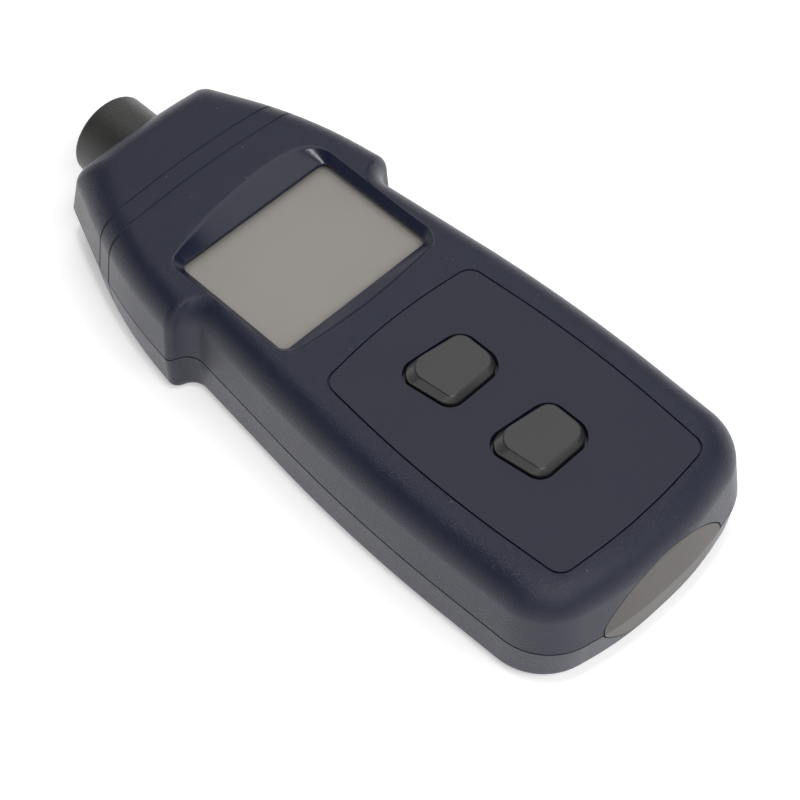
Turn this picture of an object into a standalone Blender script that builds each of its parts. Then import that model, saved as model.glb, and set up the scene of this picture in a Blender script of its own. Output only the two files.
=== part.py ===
"""Hand-held laser tachometer, built from its separate pieces.

The instrument lies on its back: X runs across it, Y from the base end to the
nose, Z up through the front face. The origin is under the middle of its whole
length, on the plane that the back rests on. All sizes are in metres.
"""
import math

import bmesh
import bpy
from mathutils import Matrix, Vector

for old_object in list(bpy.data.objects):
    bpy.data.objects.remove(old_object, do_unlink=True)

# Driving sizes of the case
BODY_LENGTH = 0.1869
BODY_HEIGHT = 0.0305
PARTING_HEIGHT = 0.0122
TUBE_REACH = 0.0103
WALL = 0.002
LIP_HEIGHT = 0.001
LIP_BASE_END = 0.009
LIP_NOSE_END = 0.0085
FRONT_STEPS = 5
INSIDE_DETAIL = 0.5
FRONT_ROUND = 0.008
BACK_ROUND = 0.0024
FRONT_DRAFT = 0.0008
BACK_DRAFT = 0.0001
GAP = 0.0003
SEAM = 0.0003
OVERLAP = 0.001

# Driving sizes of the case outline, at its corners before they are rounded
NOSE_FLAT_WIDTH = 0.018
NOSE_WIDTH = 0.0450
NOSE_BOW = 0.0009
NOSE_CORNER = 0.0024
NOSE_LEAN = 0.0029
NOSE_FLARE = 0.15
HEAD_BEND_WIDTH = 0.0706
HEAD_BEND_FROM_NOSE = 0.0321
SHOULDER_WIDTH = 0.0778
SHOULDER_FROM_NOSE = 0.0574
NECK_WIDTH = 0.065
NECK_DROP = 0.0019
BELLY_WIDTH = 0.0776
BELLY_FROM_BASE = 0.065
BASE_WIDTH = 0.0738
BASE_BOW = 0.0056
BASE_FLAT_WIDTH = 0.025
BASE_CORNER = 0.012
BASE_LEAN = 0.0014
BASE_TUCK = 0.0012
NOSE_TUCK = 0.0024
HEAD_TUCK = 0.0008
SHOULDER_TUCK = 0.0003

BASE_Y = -(BODY_LENGTH + TUBE_REACH) / 2
NOSE_Y = BASE_Y + BODY_LENGTH
SHOULDER_Y = NOSE_Y - SHOULDER_FROM_NOSE
CEILING = BODY_HEIGHT - WALL

# Driving sizes of the display window and its recess
WINDOW_WIDTH = 0.0487
WINDOW_LENGTH = 0.0371
WINDOW_FROM_SHOULDER = 0.0097
WINDOW_CORNER = 0.0022
RECESS_DEPTH = 0.0022
RECESS_TOP_SIDE = 0.0021
RECESS_LOW_SIDE = 0.0019
RECESS_BROW = 0.0076
RECESS_BROW_SIDE = 0.0027
RECESS_CHIN = 0.0042
RECESS_CHIN_SIDE = 0.0025
RECESS_HIGH_CORNER = 0.0070
RECESS_LOW_CORNER = 0.0050
WINDOW_LIP = 0.0004
PANE_THICKNESS = 0.0012
PANE_MARGIN = 0.0016
PAD_DEPTH = 0.0023

WINDOW_TOP_Y = SHOULDER_Y + WINDOW_FROM_SHOULDER
WINDOW_LOW_Y = WINDOW_TOP_Y - WINDOW_LENGTH
RECESS_FLOOR = BODY_HEIGHT - RECESS_DEPTH
PAD_BOTTOM = CEILING - PAD_DEPTH

# Driving sizes of the label plate and the two keys
LABEL_WIDTH = 0.0499
LABEL_SIDE_BOW = 0.0029
LABEL_FROM_BASE = 0.0123
LABEL_LENGTH = 0.0760
LABEL_END_BOW = 0.0026
LABEL_CORNER = 0.0034
LABEL_THICKNESS = 0.0005
LABEL_SEAT = 0.0008
KEY_WIDTH = 0.0191
KEY_LENGTH = 0.0180
KEY_FLARE = 0.0025
KEY_FALL = 0.0025
KEY_PITCH = 0.0286
KEY_FROM_BASE = 0.0321
KEY_OFF_CENTRE = -0.0001
KEY_CLEARANCE = 0.0006
KEY_RISE = 0.002
KEY_CHAMFER = 0.0012
KEY_TOP_SHIFT = 0.0009
KEY_TOP_CORNERS = (0.0056, 0.0026, 0.0040, 0.0012)
KEY_TRAVEL = 0.0008
KEY_FLANGE = 0.0012
KEY_FLANGE_THICKNESS = 0.0012
KEY_STEM_RADIUS = 0.0025

# Driving sizes of the sensor tube
TUBE_RADIUS = 0.01175
TUBE_BORE_RADIUS = 0.0083
TUBE_HEIGHT = 0.0132
TUBE_SIDES = 40
TUBE_INSIDE = 0.0189
EAR_REACH = 0.003
EAR_THICKNESS = 0.002
EAR_HEIGHT = 0.008
LENS_RADIUS = 0.0097
LENS_THICKNESS = 0.002
LENS_SETBACK = 0.0012
RIB_THICKNESS = 0.0015
RIB_HALF_WIDTH = 0.0175
LASER_RADIUS = 0.003
LASER_LENGTH = 0.014
LASER_X = -0.0038
DIODE_RADIUS = 0.0025
DIODE_LENGTH = 0.0085
DIODE_X = 0.0042
HOLDER_LENGTH = 0.007
HOLDER_FROM_BACK = 0.003
SENSOR_BOARD_WIDTH = 0.018
SENSOR_BOARD_HEIGHT = 0.018

# Driving sizes of the end insert
INSERT_WIDTH = 0.040
INSERT_TOP = 0.0243
INSERT_BOTTOM = 0.0011
INSERT_TIP_HEIGHT = 0.0128
INSERT_TIP_CUT = 0.0035
INSERT_DEPTH = 0.0052
INSERT_FLANGE = 0.0014
INSERT_FLANGE_THICKNESS = 0.0012

# Driving sizes of the battery bay and its door
CELL_RADIUS = 0.0071
CELL_LENGTH = 0.0505
CELL_PITCH = 0.0145
CELL_COUNT = 4
BAY_END_ROOM = 0.003
BAY_FROM_BASE = 0.017
BAY_WALL = 0.0015
BAY_ROOF = 0.0012
DOOR_THICKNESS = 0.0015
DOOR_SET_IN = 0.00015
DOOR_LEDGE = 0.0011
LATCH_HALF_WIDTH = 0.004
LATCH_THICKNESS = 0.0011
LATCH_RISE = 0.0016
GRIP_COUNT = 4
GRIP_PITCH = 0.0018
GRIP_HALF_LENGTH = 0.009
GRIP_HALF_WIDTH = 0.0004
GRIP_DEPTH = 0.0005
GRIP_FROM_END = 0.005
SCOOP_RADIUS = 0.009
SCOOP_OFFSET = 0.0075
SCOOP_DEPTH = 0.0009
HOOK_WIDTH = 0.006
HOOK_SPACING = 0.029
HOOK_REACH = 0.002
HOOK_THICKNESS = 0.0011
HOOK_LEDGE = 0.0015
HOOK_SET_BACK = 0.0004
HOOK_LENGTH_INSIDE = 0.0015
HOOK_ROOM = 0.0008
CONTACT_THICKNESS = 0.0004
CONTACT_HALF_SIZE = 0.0045
CONTACT_RISE = 0.0055
SPRING_WIRE = 0.00035
SPRING_RADIUS = 0.0032
SPRING_TURNS = 3
NUB_RADIUS = 0.0027
NUB_HEIGHT = 0.0012
LEAD_RADIUS = 0.0006
LEAD_X = 0.0245
LEAD_RISE = 0.005
LEAD_STRAIGHT = 0.0035
LEAD_BEND = 0.0025
LEAD_RUN = 0.0075

# Driving sizes of the circuit board and what it carries
BOARD_WIDTH = 0.054
BOARD_LENGTH = 0.120
BOARD_THICKNESS = 0.0016
BOARD_TOP_MARGIN = 0.0121
BOARD_LIFT = 0.0019
SWITCH_SIZE = 0.006
SWITCH_HEIGHT = 0.0031
PLUNGER_RADIUS = 0.00175
PLUNGER_DEPTH = 0.0012
LCD_THICKNESS = 0.0028
LCD_MARGIN = 0.0017
LCD_FRAME_WALL = 0.0012
LCD_LEDGE = 0.003
STRIP_WIDTH = 0.0024
RAIL_X = 0.0263
RAIL_WIDTH = 0.0012
CHIP_SIZE = 0.014
CHIP_HEIGHT = 0.0016
CHIP_TAPER = 0.0004
CHIP_Y = 0.015
CRYSTAL_PLACE = (-0.015, 0.003)
CRYSTAL_LENGTH = 0.011
CRYSTAL_WIDTH = 0.0045
CRYSTAL_HEIGHT = 0.0035
CAPACITOR_PLACE = (0.014, -0.007)
CAPACITOR_RADIUS = 0.004
CAPACITOR_LENGTH = 0.0105
SENSOR_LEAD_RADIUS = 0.0005
SENSOR_LEAD_X = 0.003

# Driving sizes of the screws
CASE_SCREW_RADIUS = 0.0013
CASE_SCREW_HEAD_RADIUS = 0.0025
CASE_SCREW_HEAD = 0.0018
CASE_SCREW_SINK = 0.0022
CASE_SCREW_LENGTH = 0.0155
BOSS_RADIUS = 0.0031
BOSS_WALL = 0.0011
NOSE_SCREW_X = 0.0225
NOSE_SCREW_FROM_NOSE = 0.0274
BASE_SCREW_X = 0.024
BASE_SCREW_FROM_BASE = 0.0098
BOARD_SCREW_RADIUS = 0.0009
BOARD_SCREW_HEAD_RADIUS = 0.0018
BOARD_SCREW_HEAD = 0.0012
BOARD_SCREW_LENGTH = 0.005
BOARD_SCREW_X = 0.0235
POST_RADIUS = 0.0024
BOSS_SIDES = 12

# Driving sizes of the two grooves round the head
GROOVE_RADIUS = 0.0004
GROOVE_FROM_NOSE = 0.0235
GROOVE_SPACING = 0.0055
GROOVE_BOW_RADIUS = 0.265
GROOVE_TILT = 0.11

# Heights that follow from those sizes
BAY_LOW_Y = BASE_Y + BAY_FROM_BASE
BAY_HIGH_Y = BAY_LOW_Y + CELL_LENGTH + 2 * BAY_END_ROOM
BAY_HALF_WIDTH = CELL_PITCH * (CELL_COUNT - 1) / 2 + CELL_RADIUS + GAP
CELL_AXIS_Z = DOOR_SET_IN + DOOR_THICKNESS + GAP + CELL_RADIUS
BAY_CEILING = CELL_AXIS_Z + CELL_RADIUS + GAP
BAY_TOP = BAY_CEILING + BAY_ROOF
BOARD_BOTTOM = BAY_TOP + BOARD_LIFT
BOARD_TOP = BOARD_BOTTOM + BOARD_THICKNESS
BOARD_HIGH_Y = WINDOW_TOP_Y + BOARD_TOP_MARGIN
BOARD_LOW_Y = BOARD_HIGH_Y - BOARD_LENGTH
ROOF_Z = CEILING + WALL * 0.4
SEAT_Z = CEILING - KEY_FLANGE_THICKNESS - GAP
SWITCH_TOP = BOARD_TOP + GAP + SWITCH_HEIGHT
PLUNGER_TOP = SWITCH_TOP + KEY_TRAVEL
STEM_BOTTOM = PLUNGER_TOP + GAP
PANE_TOP = RECESS_FLOOR - WINDOW_LIP - GAP
LCD_TOP = PANE_TOP - PANE_THICKNESS - GAP
MIDDLE_SEAM = SEAM / 2
TUBE_BACK_Y = NOSE_Y - TUBE_INSIDE
TUBE_TIP_Y = NOSE_Y + TUBE_REACH
EAR_FRONT_Y = NOSE_Y - WALL - NOSE_BOW - 3 * GAP - NOSE_LEAN / 4
RIB_Y = EAR_FRONT_Y - EAR_THICKNESS - GAP
LENS_SEAT_Y = TUBE_TIP_Y - LENS_SETBACK - LENS_THICKNESS - GAP

parts = bpy.data.collections.new("laser_tachometer")
cutters = bpy.data.collections.new("cutters")
bpy.context.scene.collection.children.link(parts)
bpy.context.scene.collection.children.link(cutters)


def material(name, colour, roughness, metallic=0.0):
    """A plain finish, by its colour, roughness and metal value."""
    finish = bpy.data.materials.new(name)
    finish.use_nodes = True
    shader = finish.node_tree.nodes["Principled BSDF"]
    shader.inputs["Base Color"].default_value = (*colour, 1.0)
    shader.inputs["Roughness"].default_value = roughness
    shader.inputs["Metallic"].default_value = metallic
    finish.diffuse_color = (*colour, 1.0)
    return finish


NAVY = material("navy_plastic", (0.030, 0.034, 0.058), 0.5)
LABEL_NAVY = material("label_film", (0.034, 0.038, 0.062), 0.4)
CHARCOAL = material("charcoal_plastic", (0.045, 0.045, 0.045), 0.45)
TUBE_BLACK = material("tube_black", (0.036, 0.036, 0.034), 0.45)
WARM_GREY = material("warm_grey_plastic", (0.20, 0.185, 0.17), 0.6)
CLEAR = material("clear_plastic", (0.75, 0.76, 0.74), 0.1)
LCD_GREY = material("display_glass", (0.32, 0.31, 0.28), 0.3)
STEEL = material("plated_steel", (0.62, 0.62, 0.60), 0.3, 1.0)
BRASS = material("brass", (0.72, 0.53, 0.22), 0.3, 1.0)
BOARD_GREEN = material("circuit_board", (0.03, 0.16, 0.07), 0.5)
BLACK = material("black_plastic", (0.015, 0.015, 0.015), 0.5)
RUBBER = material("strip_rubber", (0.30, 0.28, 0.30), 0.8)
CELL_COAT = material("cell_coat", (0.16, 0.17, 0.18), 0.35)
RED = material("red_insulation", (0.45, 0.02, 0.02), 0.5)
OPTIC_RED = material("optic_red", (0.30, 0.02, 0.02), 0.15)


def add_object(name, mesh, finish, group=parts):
    """Puts a mesh into the scene as one named object."""
    made = bpy.data.objects.new(name, mesh)
    group.objects.link(made)
    if finish is not None:
        made.data.materials.clear()
        made.data.materials.append(finish)
    if group is cutters:
        made.hide_render = True
        made.display_type = "WIRE"
    return made


def mesh_object(name, bm, finish, group=parts):
    """Turns a bmesh into an object and frees it."""
    mesh = bpy.data.meshes.new(name)
    bm.to_mesh(mesh)
    bm.free()
    return add_object(name, mesh, finish, group)


def smooth(made, degrees=35):
    """Shades an object smooth up to the given crease angle."""
    made.data.shade_smooth()
    made.data.set_sharp_from_angle(angle=math.radians(degrees))
    return made


def cut(target, cutter):
    """Takes the cutter out of the target."""
    step = target.modifiers.new("cut_" + cutter.name, "BOOLEAN")
    step.operation = "DIFFERENCE"
    step.solver = "EXACT"
    step.object = cutter


def join(target, added):
    """Makes the added shape part of the target."""
    step = target.modifiers.new("join_" + added.name, "BOOLEAN")
    step.operation = "UNION"
    step.solver = "EXACT"
    step.object = added


def keep_common(target, other):
    """Leaves only what the target shares with the other shape."""
    step = target.modifiers.new("keep_" + other.name, "BOOLEAN")
    step.operation = "INTERSECT"
    step.solver = "EXACT"
    step.object = other


def box(name, low, high, finish=None, group=cutters):
    """A block between two opposite corners."""
    bm = bmesh.new()
    bmesh.ops.create_cube(bm, size=1.0)
    low, high = Vector(low), Vector(high)
    size = high - low
    bmesh.ops.scale(bm, vec=size, verts=bm.verts)
    bmesh.ops.translate(bm, vec=(low + high) / 2, verts=bm.verts)
    return mesh_object(name, bm, finish, group)


def rod(name, radius, low, high, finish=None, group=cutters, sides=24):
    """A cylinder between two points on its axis."""
    low, high = Vector(low), Vector(high)
    axis = high - low
    bm = bmesh.new()
    bmesh.ops.create_cone(
        bm, cap_ends=True, segments=sides, radius1=radius, radius2=radius, depth=axis.length
    )
    turn = Vector((0, 0, 1)).rotation_difference(axis).to_matrix().to_4x4()
    bmesh.ops.transform(bm, matrix=Matrix.Translation((low + high) / 2) @ turn, verts=bm.verts)
    return smooth(mesh_object(name, bm, finish, group))


def mesh_from_curve(curve_object, finish, group):
    """Replaces a curve object by the closed mesh that it draws."""
    bpy.context.view_layer.update()
    drawn = curve_object.evaluated_get(bpy.context.evaluated_depsgraph_get())
    mesh = bpy.data.meshes.new_from_object(drawn)
    bm = bmesh.new()
    bm.from_mesh(mesh)
    bmesh.ops.remove_doubles(bm, verts=bm.verts, dist=0.000001)
    bmesh.ops.recalc_face_normals(bm, faces=bm.faces)
    bm.to_mesh(mesh)
    bm.free()
    name = curve_object.name
    place = curve_object.matrix_world.copy()
    bpy.data.objects.remove(curve_object)
    mesh.name = name
    made = add_object(name, mesh, finish, group)
    made.name = name
    made.matrix_world = place
    return made


def plate(name, outlines, low, high, finish=None, group=cutters):
    """A flat piece: closed outlines in XY, filled and raised from low to high.

    Further outlines inside the first are holes in it.
    """
    drawing = bpy.data.curves.new(name, "CURVE")
    drawing.dimensions = "2D"
    drawing.fill_mode = "BOTH"
    drawing.extrude = (high - low) / 2
    for outline in outlines:
        spline = drawing.splines.new("POLY")
        spline.points.add(len(outline) - 1)
        for point, (x, y) in zip(spline.points, outline):
            point.co = (x, y, 0.0, 1.0)
        spline.use_cyclic_u = True
    made = bpy.data.objects.new(name, drawing)
    group.objects.link(made)
    made.location.z = (low + high) / 2
    return mesh_from_curve(made, finish, group)


def tube_along(name, points, radius, finish=None, group=parts, sides=2):
    """A round wire or bead along a list of points."""
    route = bpy.data.curves.new(name, "CURVE")
    route.dimensions = "3D"
    route.bevel_depth = radius
    route.bevel_resolution = sides
    route.use_fill_caps = True
    spline = route.splines.new("POLY")
    spline.points.add(len(points) - 1)
    for point, place in zip(spline.points, points):
        point.co = (*place, 1.0)
    made = bpy.data.objects.new(name, route)
    group.objects.link(made)
    return smooth(mesh_from_curve(made, finish, group))


def turned(name, profile, finish, group=parts, steps=32, closed=False):
    """A turned piece about Z: the profile's (radius, height) points run from
    its top to its bottom down the outer side. A closed one makes a ring."""
    bm = bmesh.new()
    ring = [bm.verts.new((radius, 0.0, height)) for radius, height in profile]
    for first, second in zip(ring, ring[1:]):
        bm.edges.new((first, second))
    if closed:
        bm.edges.new((ring[-1], ring[0]))
    made = mesh_object(name, bm, finish, group)
    spin = made.modifiers.new("turn", "SCREW")
    spin.steps = steps
    spin.render_steps = steps
    spin.use_merge_vertices = True
    spin.merge_threshold = 0.00001
    spin.use_smooth_shade = False
    return made


def rounded(corners):
    """The closed outline of a polygon with rounded corners.

    Each corner is (x, y, cut, steps): cut is the length of each edge that its
    curve takes, and a corner with no cut stays sharp. A curve is a true arc,
    and it is shortened where an edge has no room for it.
    """
    count = len(corners)
    places = [Vector((c[0], c[1])) for c in corners]
    cuts = [c[2] for c in corners]
    for i in range(count):
        j = (i + 1) % count
        room = (places[j] - places[i]).length * 0.98
        taken = cuts[i] + cuts[j]
        if taken > room:
            cuts[i] *= room / taken
            cuts[j] *= room / taken
    outline = []
    for i in range(count):
        here, size, steps = places[i], cuts[i], corners[i][3]
        if size <= 0 or steps < 1:
            outline.append((here.x, here.y))
            continue
        back = (places[i - 1] - here).normalized()
        ahead = (places[(i + 1) % count] - here).normalized()
        start, end = here + back * size, here + ahead * size
        half_turn = (math.pi - back.angle(ahead)) / 2
        weight = math.cos(half_turn)
        for k in range(steps + 1):
            t = k / steps
            a, b, c = (1 - t) ** 2, 2 * weight * t * (1 - t), t ** 2
            point = (start * a + here * b + end * c) / (a + b + c)
            outline.append((point.x, point.y))
    return outline


def mirrored(half):
    """A whole outline from its right half, whose first and last corners lie
    on the centre line."""
    return half + [(-x, y, size, steps) for x, y, size, steps in reversed(half[1:-1])]


def lean_share(height):
    """How much of their lean both ends have at a height: none up to the
    parting plane and all of it at the front face."""
    return max(0.0, (height - PARTING_HEIGHT) / (BODY_HEIGHT - PARTING_HEIGHT))


def tuck_share(height):
    """How much of their taper the head and the base have at a height: none
    at the parting plane and all of it at the back."""
    return max(0.0, (PARTING_HEIGHT - height) / PARTING_HEIGHT)


def case_outline(inset=0.0, step_back=0.0, detail=1.0, lean=0.0, tuck=0.0):
    """The case seen from the front, drawn in by an inset.

    The head flares from the nose to the shoulders, steps in at the neck and
    goes on as the barrel-shaped grip. The inset moves the sides across and
    the ends along, so that the step at the neck keeps its shape at each
    height. Inside the wall the step lies further back towards the nose and
    the curves need less detail. With the lean the ends draw in further, and
    with the tuck the base and the sides of the head do, most at the nose.
    """
    nose_x = NOSE_WIDTH / 2 + NOSE_FLARE * NOSE_LEAN * lean - NOSE_TUCK * tuck - inset
    bend_x = HEAD_BEND_WIDTH / 2 - HEAD_TUCK * tuck - inset
    base_cut = max(BASE_CORNER - 0.75 * inset, 0.002)
    high = NOSE_Y - NOSE_LEAN * lean - inset
    low = BASE_Y + BASE_LEAN * lean + BASE_TUCK * tuck + inset
    shoulder_x = SHOULDER_WIDTH / 2 - SHOULDER_TUCK * tuck - inset
    neck_x = NECK_WIDTH / 2 - inset
    half = [
        (0.0, high, 0.0, 0),
        (NOSE_FLAT_WIDTH / 2, high, 0.006, 2),
        (nose_x, high - NOSE_BOW, NOSE_CORNER, 6),
        (bend_x, NOSE_Y - HEAD_BEND_FROM_NOSE, 0.018, 4),
        (shoulder_x, SHOULDER_Y + step_back, 0.0017 + 0.15 * inset, 4),
        (neck_x, SHOULDER_Y - NECK_DROP + step_back, 0.0044, 5),
        (BELLY_WIDTH / 2 - inset, BASE_Y + BELLY_FROM_BASE, 0.029, 6),
        (BASE_WIDTH / 2 - inset, low + BASE_BOW, base_cut, 7),
        (BASE_FLAT_WIDTH / 2, low, 0.010, 2),
        (0.0, low, 0.0, 0),
    ]
    half = [(x, y, size, round(steps * detail)) for x, y, size, steps in half]
    return list(reversed(rounded(mirrored(half))))


def loft(name, levels, finish, group, cap_low=True, cap_high=True):
    """A skin through outlines of the same number of points: each level is
    (outline, height), from the lowest to the highest."""
    bm = bmesh.new()
    rings = [[bm.verts.new((x, y, z)) for x, y in outline] for outline, z in levels]
    count = len(rings[0])
    for lower, upper in zip(rings, rings[1:]):
        for i in range(count):
            j = (i + 1) % count
            bm.faces.new((lower[i], lower[j], upper[j], upper[i]))
    if cap_low:
        bm.faces.new(list(reversed(rings[0])))
    if cap_high:
        bm.faces.new(rings[-1])
    return smooth(mesh_object(name, bm, finish, group), 30)


def front_levels(start, wall=0.0, steps=FRONT_STEPS, detail=1.0):
    """The levels of the front half, or of the room inside its wall: a
    drafted side, then a quarter round."""
    levels = [(case_outline(wall, wall, detail), start)]
    turn = FRONT_ROUND - wall
    for k in range(steps + 1):
        angle = math.radians(90) * k / steps
        inset = wall + FRONT_DRAFT + (turn - FRONT_DRAFT) * (1 - math.cos(angle))
        height = BODY_HEIGHT - wall - turn * (1 - math.sin(angle))
        levels.append((case_outline(inset, wall, detail, lean_share(height)), height))
    return levels


def back_levels(end, wall=0.0, steps=3, detail=1.0):
    """The levels of the back half, or of the room inside its wall: a small
    quarter round, then a drafted side."""
    levels = []
    turn = BACK_ROUND - wall
    for k in range(steps + 1):
        angle = math.radians(90) * k / steps
        inset = wall + BACK_DRAFT + turn * (1 - math.sin(angle))
        height = wall + turn * (1 - math.cos(angle))
        tuck = tuck_share(height)
        levels.append((case_outline(inset, wall, detail, 0.0, tuck), height))
    levels.append((case_outline(wall, wall, detail), end))
    return levels


def lip_outline(inset):
    """The run of the overlapping lip inside the wall of both halves."""
    return case_outline(inset, inset, INSIDE_DETAIL)


def half_width(y, inset=0.0):
    """Half the width of the case at a place along it."""
    side = [(px, py) for px, py in case_outline(inset) if px > 0]
    best = 0.0
    for (x0, y0), (x1, y1) in zip(side, side[1:]):
        if min(y0, y1) <= y <= max(y0, y1) and y0 != y1:
            best = max(best, x0 + (x1 - x0) * (y - y0) / (y1 - y0))
    return best


def window_outline(margin=0.0, corner=WINDOW_CORNER):
    """The display window, widened by a margin on each side."""
    x = WINDOW_WIDTH / 2 + margin
    high, low = WINDOW_TOP_Y + margin, WINDOW_LOW_Y - margin
    half = [
        (0.0, high, WINDOW_WIDTH * 0.42, 10),
        (x, high, corner, 5),
        (x, low, corner, 5),
        (0.0, low, WINDOW_WIDTH * 0.2, 4),
    ]
    return list(reversed(rounded(mirrored(half))))


def recess_outline(spread=0.0):
    """The mouth of the display recess: a raised brow, straight sides that
    narrow a little and a shallow chin."""
    top_x = WINDOW_WIDTH / 2 + RECESS_TOP_SIDE + spread
    low_x = WINDOW_WIDTH / 2 + RECESS_LOW_SIDE + spread
    side_y = WINDOW_TOP_Y + RECESS_BROW_SIDE + spread
    chin_y = WINDOW_LOW_Y - RECESS_CHIN_SIDE - spread
    brow_y = side_y + 1.9 * (RECESS_BROW - RECESS_BROW_SIDE)
    half = [
        (0.0, brow_y, WINDOW_WIDTH * 0.52, 10),
        (top_x, side_y, RECESS_HIGH_CORNER, 5),
        (low_x, chin_y, RECESS_LOW_CORNER, 5),
        (0.0, chin_y - 1.7 * (RECESS_CHIN - RECESS_CHIN_SIDE), WINDOW_WIDTH * 0.3, 4),
    ]
    return list(reversed(rounded(mirrored(half))))


def label_outline(inset=0.0):
    """The label plate: a rectangle whose four sides bow outwards a little."""
    x = LABEL_WIDTH / 2 - inset
    low = BASE_Y + LABEL_FROM_BASE + inset
    high = BASE_Y + LABEL_FROM_BASE + LABEL_LENGTH - inset
    middle = (low + high) / 2
    half = [
        (0.0, high + LABEL_END_BOW, 0.016, 4),
        (x, high, LABEL_CORNER, 6),
        (x + LABEL_SIDE_BOW, middle, 0.025, 6),
        (x, low, LABEL_CORNER, 6),
        (0.0, low - LABEL_END_BOW, 0.016, 4),
    ]
    return rounded(mirrored(half))


def key_outline(centre_y, inset=0.0):
    """A key seen from the front: level foot, upright right side, left side
    that leans out towards the top and a top that falls to the right."""
    x = KEY_OFF_CENTRE
    right = x + KEY_WIDTH / 2 - inset
    left = x - KEY_WIDTH / 2 + inset
    low = centre_y - KEY_LENGTH / 2 + inset
    high = centre_y + KEY_LENGTH / 2 - inset
    corners = [
        (left - KEY_FLARE, high, 0.0060 - 0.6 * inset, 6),
        (right, high - KEY_FALL, 0.0043 - 0.8 * inset, 6),
        (right, low, 0.0057 - 0.9 * inset, 7),
        (left, low, 0.0036 - 0.8 * inset, 6),
    ]
    return list(reversed(rounded(corners)))


def key_top_outline(centre_y):
    """The flat top of a key. It is drawn in all round, and most at its upper
    left corner, where the side slopes widest."""
    inset = KEY_CLEARANCE + KEY_CHAMFER
    right = KEY_OFF_CENTRE + KEY_WIDTH / 2 - inset
    left = KEY_OFF_CENTRE - KEY_WIDTH / 2 + inset
    low = centre_y - KEY_LENGTH / 2 + inset
    high = centre_y + KEY_LENGTH / 2 - inset
    upper_left, upper_right, lower_right, lower_left = KEY_TOP_CORNERS
    corners = [
        (left - KEY_FLARE + KEY_TOP_SHIFT, high, upper_left, 6),
        (right, high - KEY_FALL, upper_right, 6),
        (right, low, lower_right, 7),
        (left, low, lower_left, 6),
    ]
    return list(reversed(rounded(corners)))


MEM_KEY_Y = BASE_Y + KEY_FROM_BASE + KEY_LENGTH / 2
READ_KEY_Y = MEM_KEY_Y + KEY_PITCH
KEY_PLACES = {"read": READ_KEY_Y, "mem": MEM_KEY_Y}


def screw_places():
    """The four case screws, two in the head and two by the base."""
    nose_y = NOSE_Y - NOSE_SCREW_FROM_NOSE
    base_y = BASE_Y + BASE_SCREW_FROM_BASE
    return [
        (-NOSE_SCREW_X, nose_y),
        (NOSE_SCREW_X, nose_y),
        (-BASE_SCREW_X, base_y),
        (BASE_SCREW_X, base_y),
    ]


def board_screw_places():
    """The four board screws, above the display and between the keys."""
    high_y = BOARD_HIGH_Y - POST_RADIUS - GAP
    low_y = (READ_KEY_Y + MEM_KEY_Y) / 2
    return [(side * BOARD_SCREW_X, y) for y in (high_y, low_y) for side in (-1, 1)]


def groove_cutters():
    """Two fine beads that lie on the skin right round the head."""
    made = []
    for number in range(2):
        crest_y = NOSE_Y - GROOVE_FROM_NOSE - number * GROOVE_SPACING
        side_y = crest_y - (NOSE_WIDTH / 2) ** 2 / (2 * GROOVE_BOW_RADIUS)
        widest_y = side_y + GROOVE_TILT * (BODY_HEIGHT - PARTING_HEIGHT)
        foot_y = widest_y - GROOVE_TILT * (PARTING_HEIGHT + 0.002)
        foot = [
            (half_width(foot_y) - BACK_DRAFT, foot_y, -0.002),
            (half_width(widest_y), widest_y, PARTING_HEIGHT),
        ]
        route = []
        for k in range(FRONT_STEPS + 1):
            angle = math.radians(90) * k / FRONT_STEPS
            inset = FRONT_DRAFT + (FRONT_ROUND - FRONT_DRAFT) * (1 - math.cos(angle))
            height = BODY_HEIGHT - FRONT_ROUND * (1 - math.sin(angle))
            y = side_y + GROOVE_TILT * (BODY_HEIGHT - height)
            route.append((half_width(y) - inset, y, height))
        edge_x = route[-1][0]
        for k in range(1, 5):
            x = edge_x * (1 - k / 4)
            bow = (min(x, NOSE_WIDTH / 2) ** 2) / (2 * GROOVE_BOW_RADIUS)
            route.append((x, crest_y - bow, BODY_HEIGHT))
        right = foot + route
        whole = right + [(-x, y, z) for x, y, z in reversed(right[:-1])]
        made.append(tube_along(f"groove_{number + 1}", whole, GROOVE_RADIUS, None, cutters, 0))
    return made


def insert_outline(margin=0.0):
    """The end insert seen from the base: a pointed oval with blunt tips.
    Its points are (x, z)."""
    tip_x = INSERT_WIDTH / 2 + 0.0013 + 1.3 * margin
    high = INSERT_TIP_HEIGHT + 2.2 * (INSERT_TOP - INSERT_TIP_HEIGHT) + 1.56 * margin
    low = INSERT_TIP_HEIGHT - 2.2 * (INSERT_TIP_HEIGHT - INSERT_BOTTOM) - 1.56 * margin
    taken = INSERT_TIP_CUT * 1.1
    high_cut = math.hypot(tip_x, high - INSERT_TIP_HEIGHT) - taken
    low_cut = math.hypot(tip_x, low - INSERT_TIP_HEIGHT) - taken
    half = [
        (0.0, high, high_cut * 0.97, 12),
        (tip_x, INSERT_TIP_HEIGHT, INSERT_TIP_CUT, 4),
        (0.0, low, low_cut * 0.97, 12),
    ]
    return rounded(mirrored(half))


def upright(name, outlines, low_y, high_y, finish=None, group=cutters):
    """A flat piece that stands across Y, its outlines given as (x, z)."""
    flat = [[(x, -z) for x, z in outline] for outline in outlines]
    made = plate(name, flat, low_y, high_y, finish, group)
    made.data.transform(Matrix.Rotation(math.radians(-90), 4, "X") @ made.matrix_world)
    made.matrix_world = Matrix.Identity(4)
    return made


def set_origin(made, place):
    """Moves an object's origin and leaves its shape where it is."""
    place = Vector(place)
    made.data.transform(Matrix.Translation(-place) @ made.matrix_world)
    made.matrix_world = Matrix.Translation(place)


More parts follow.
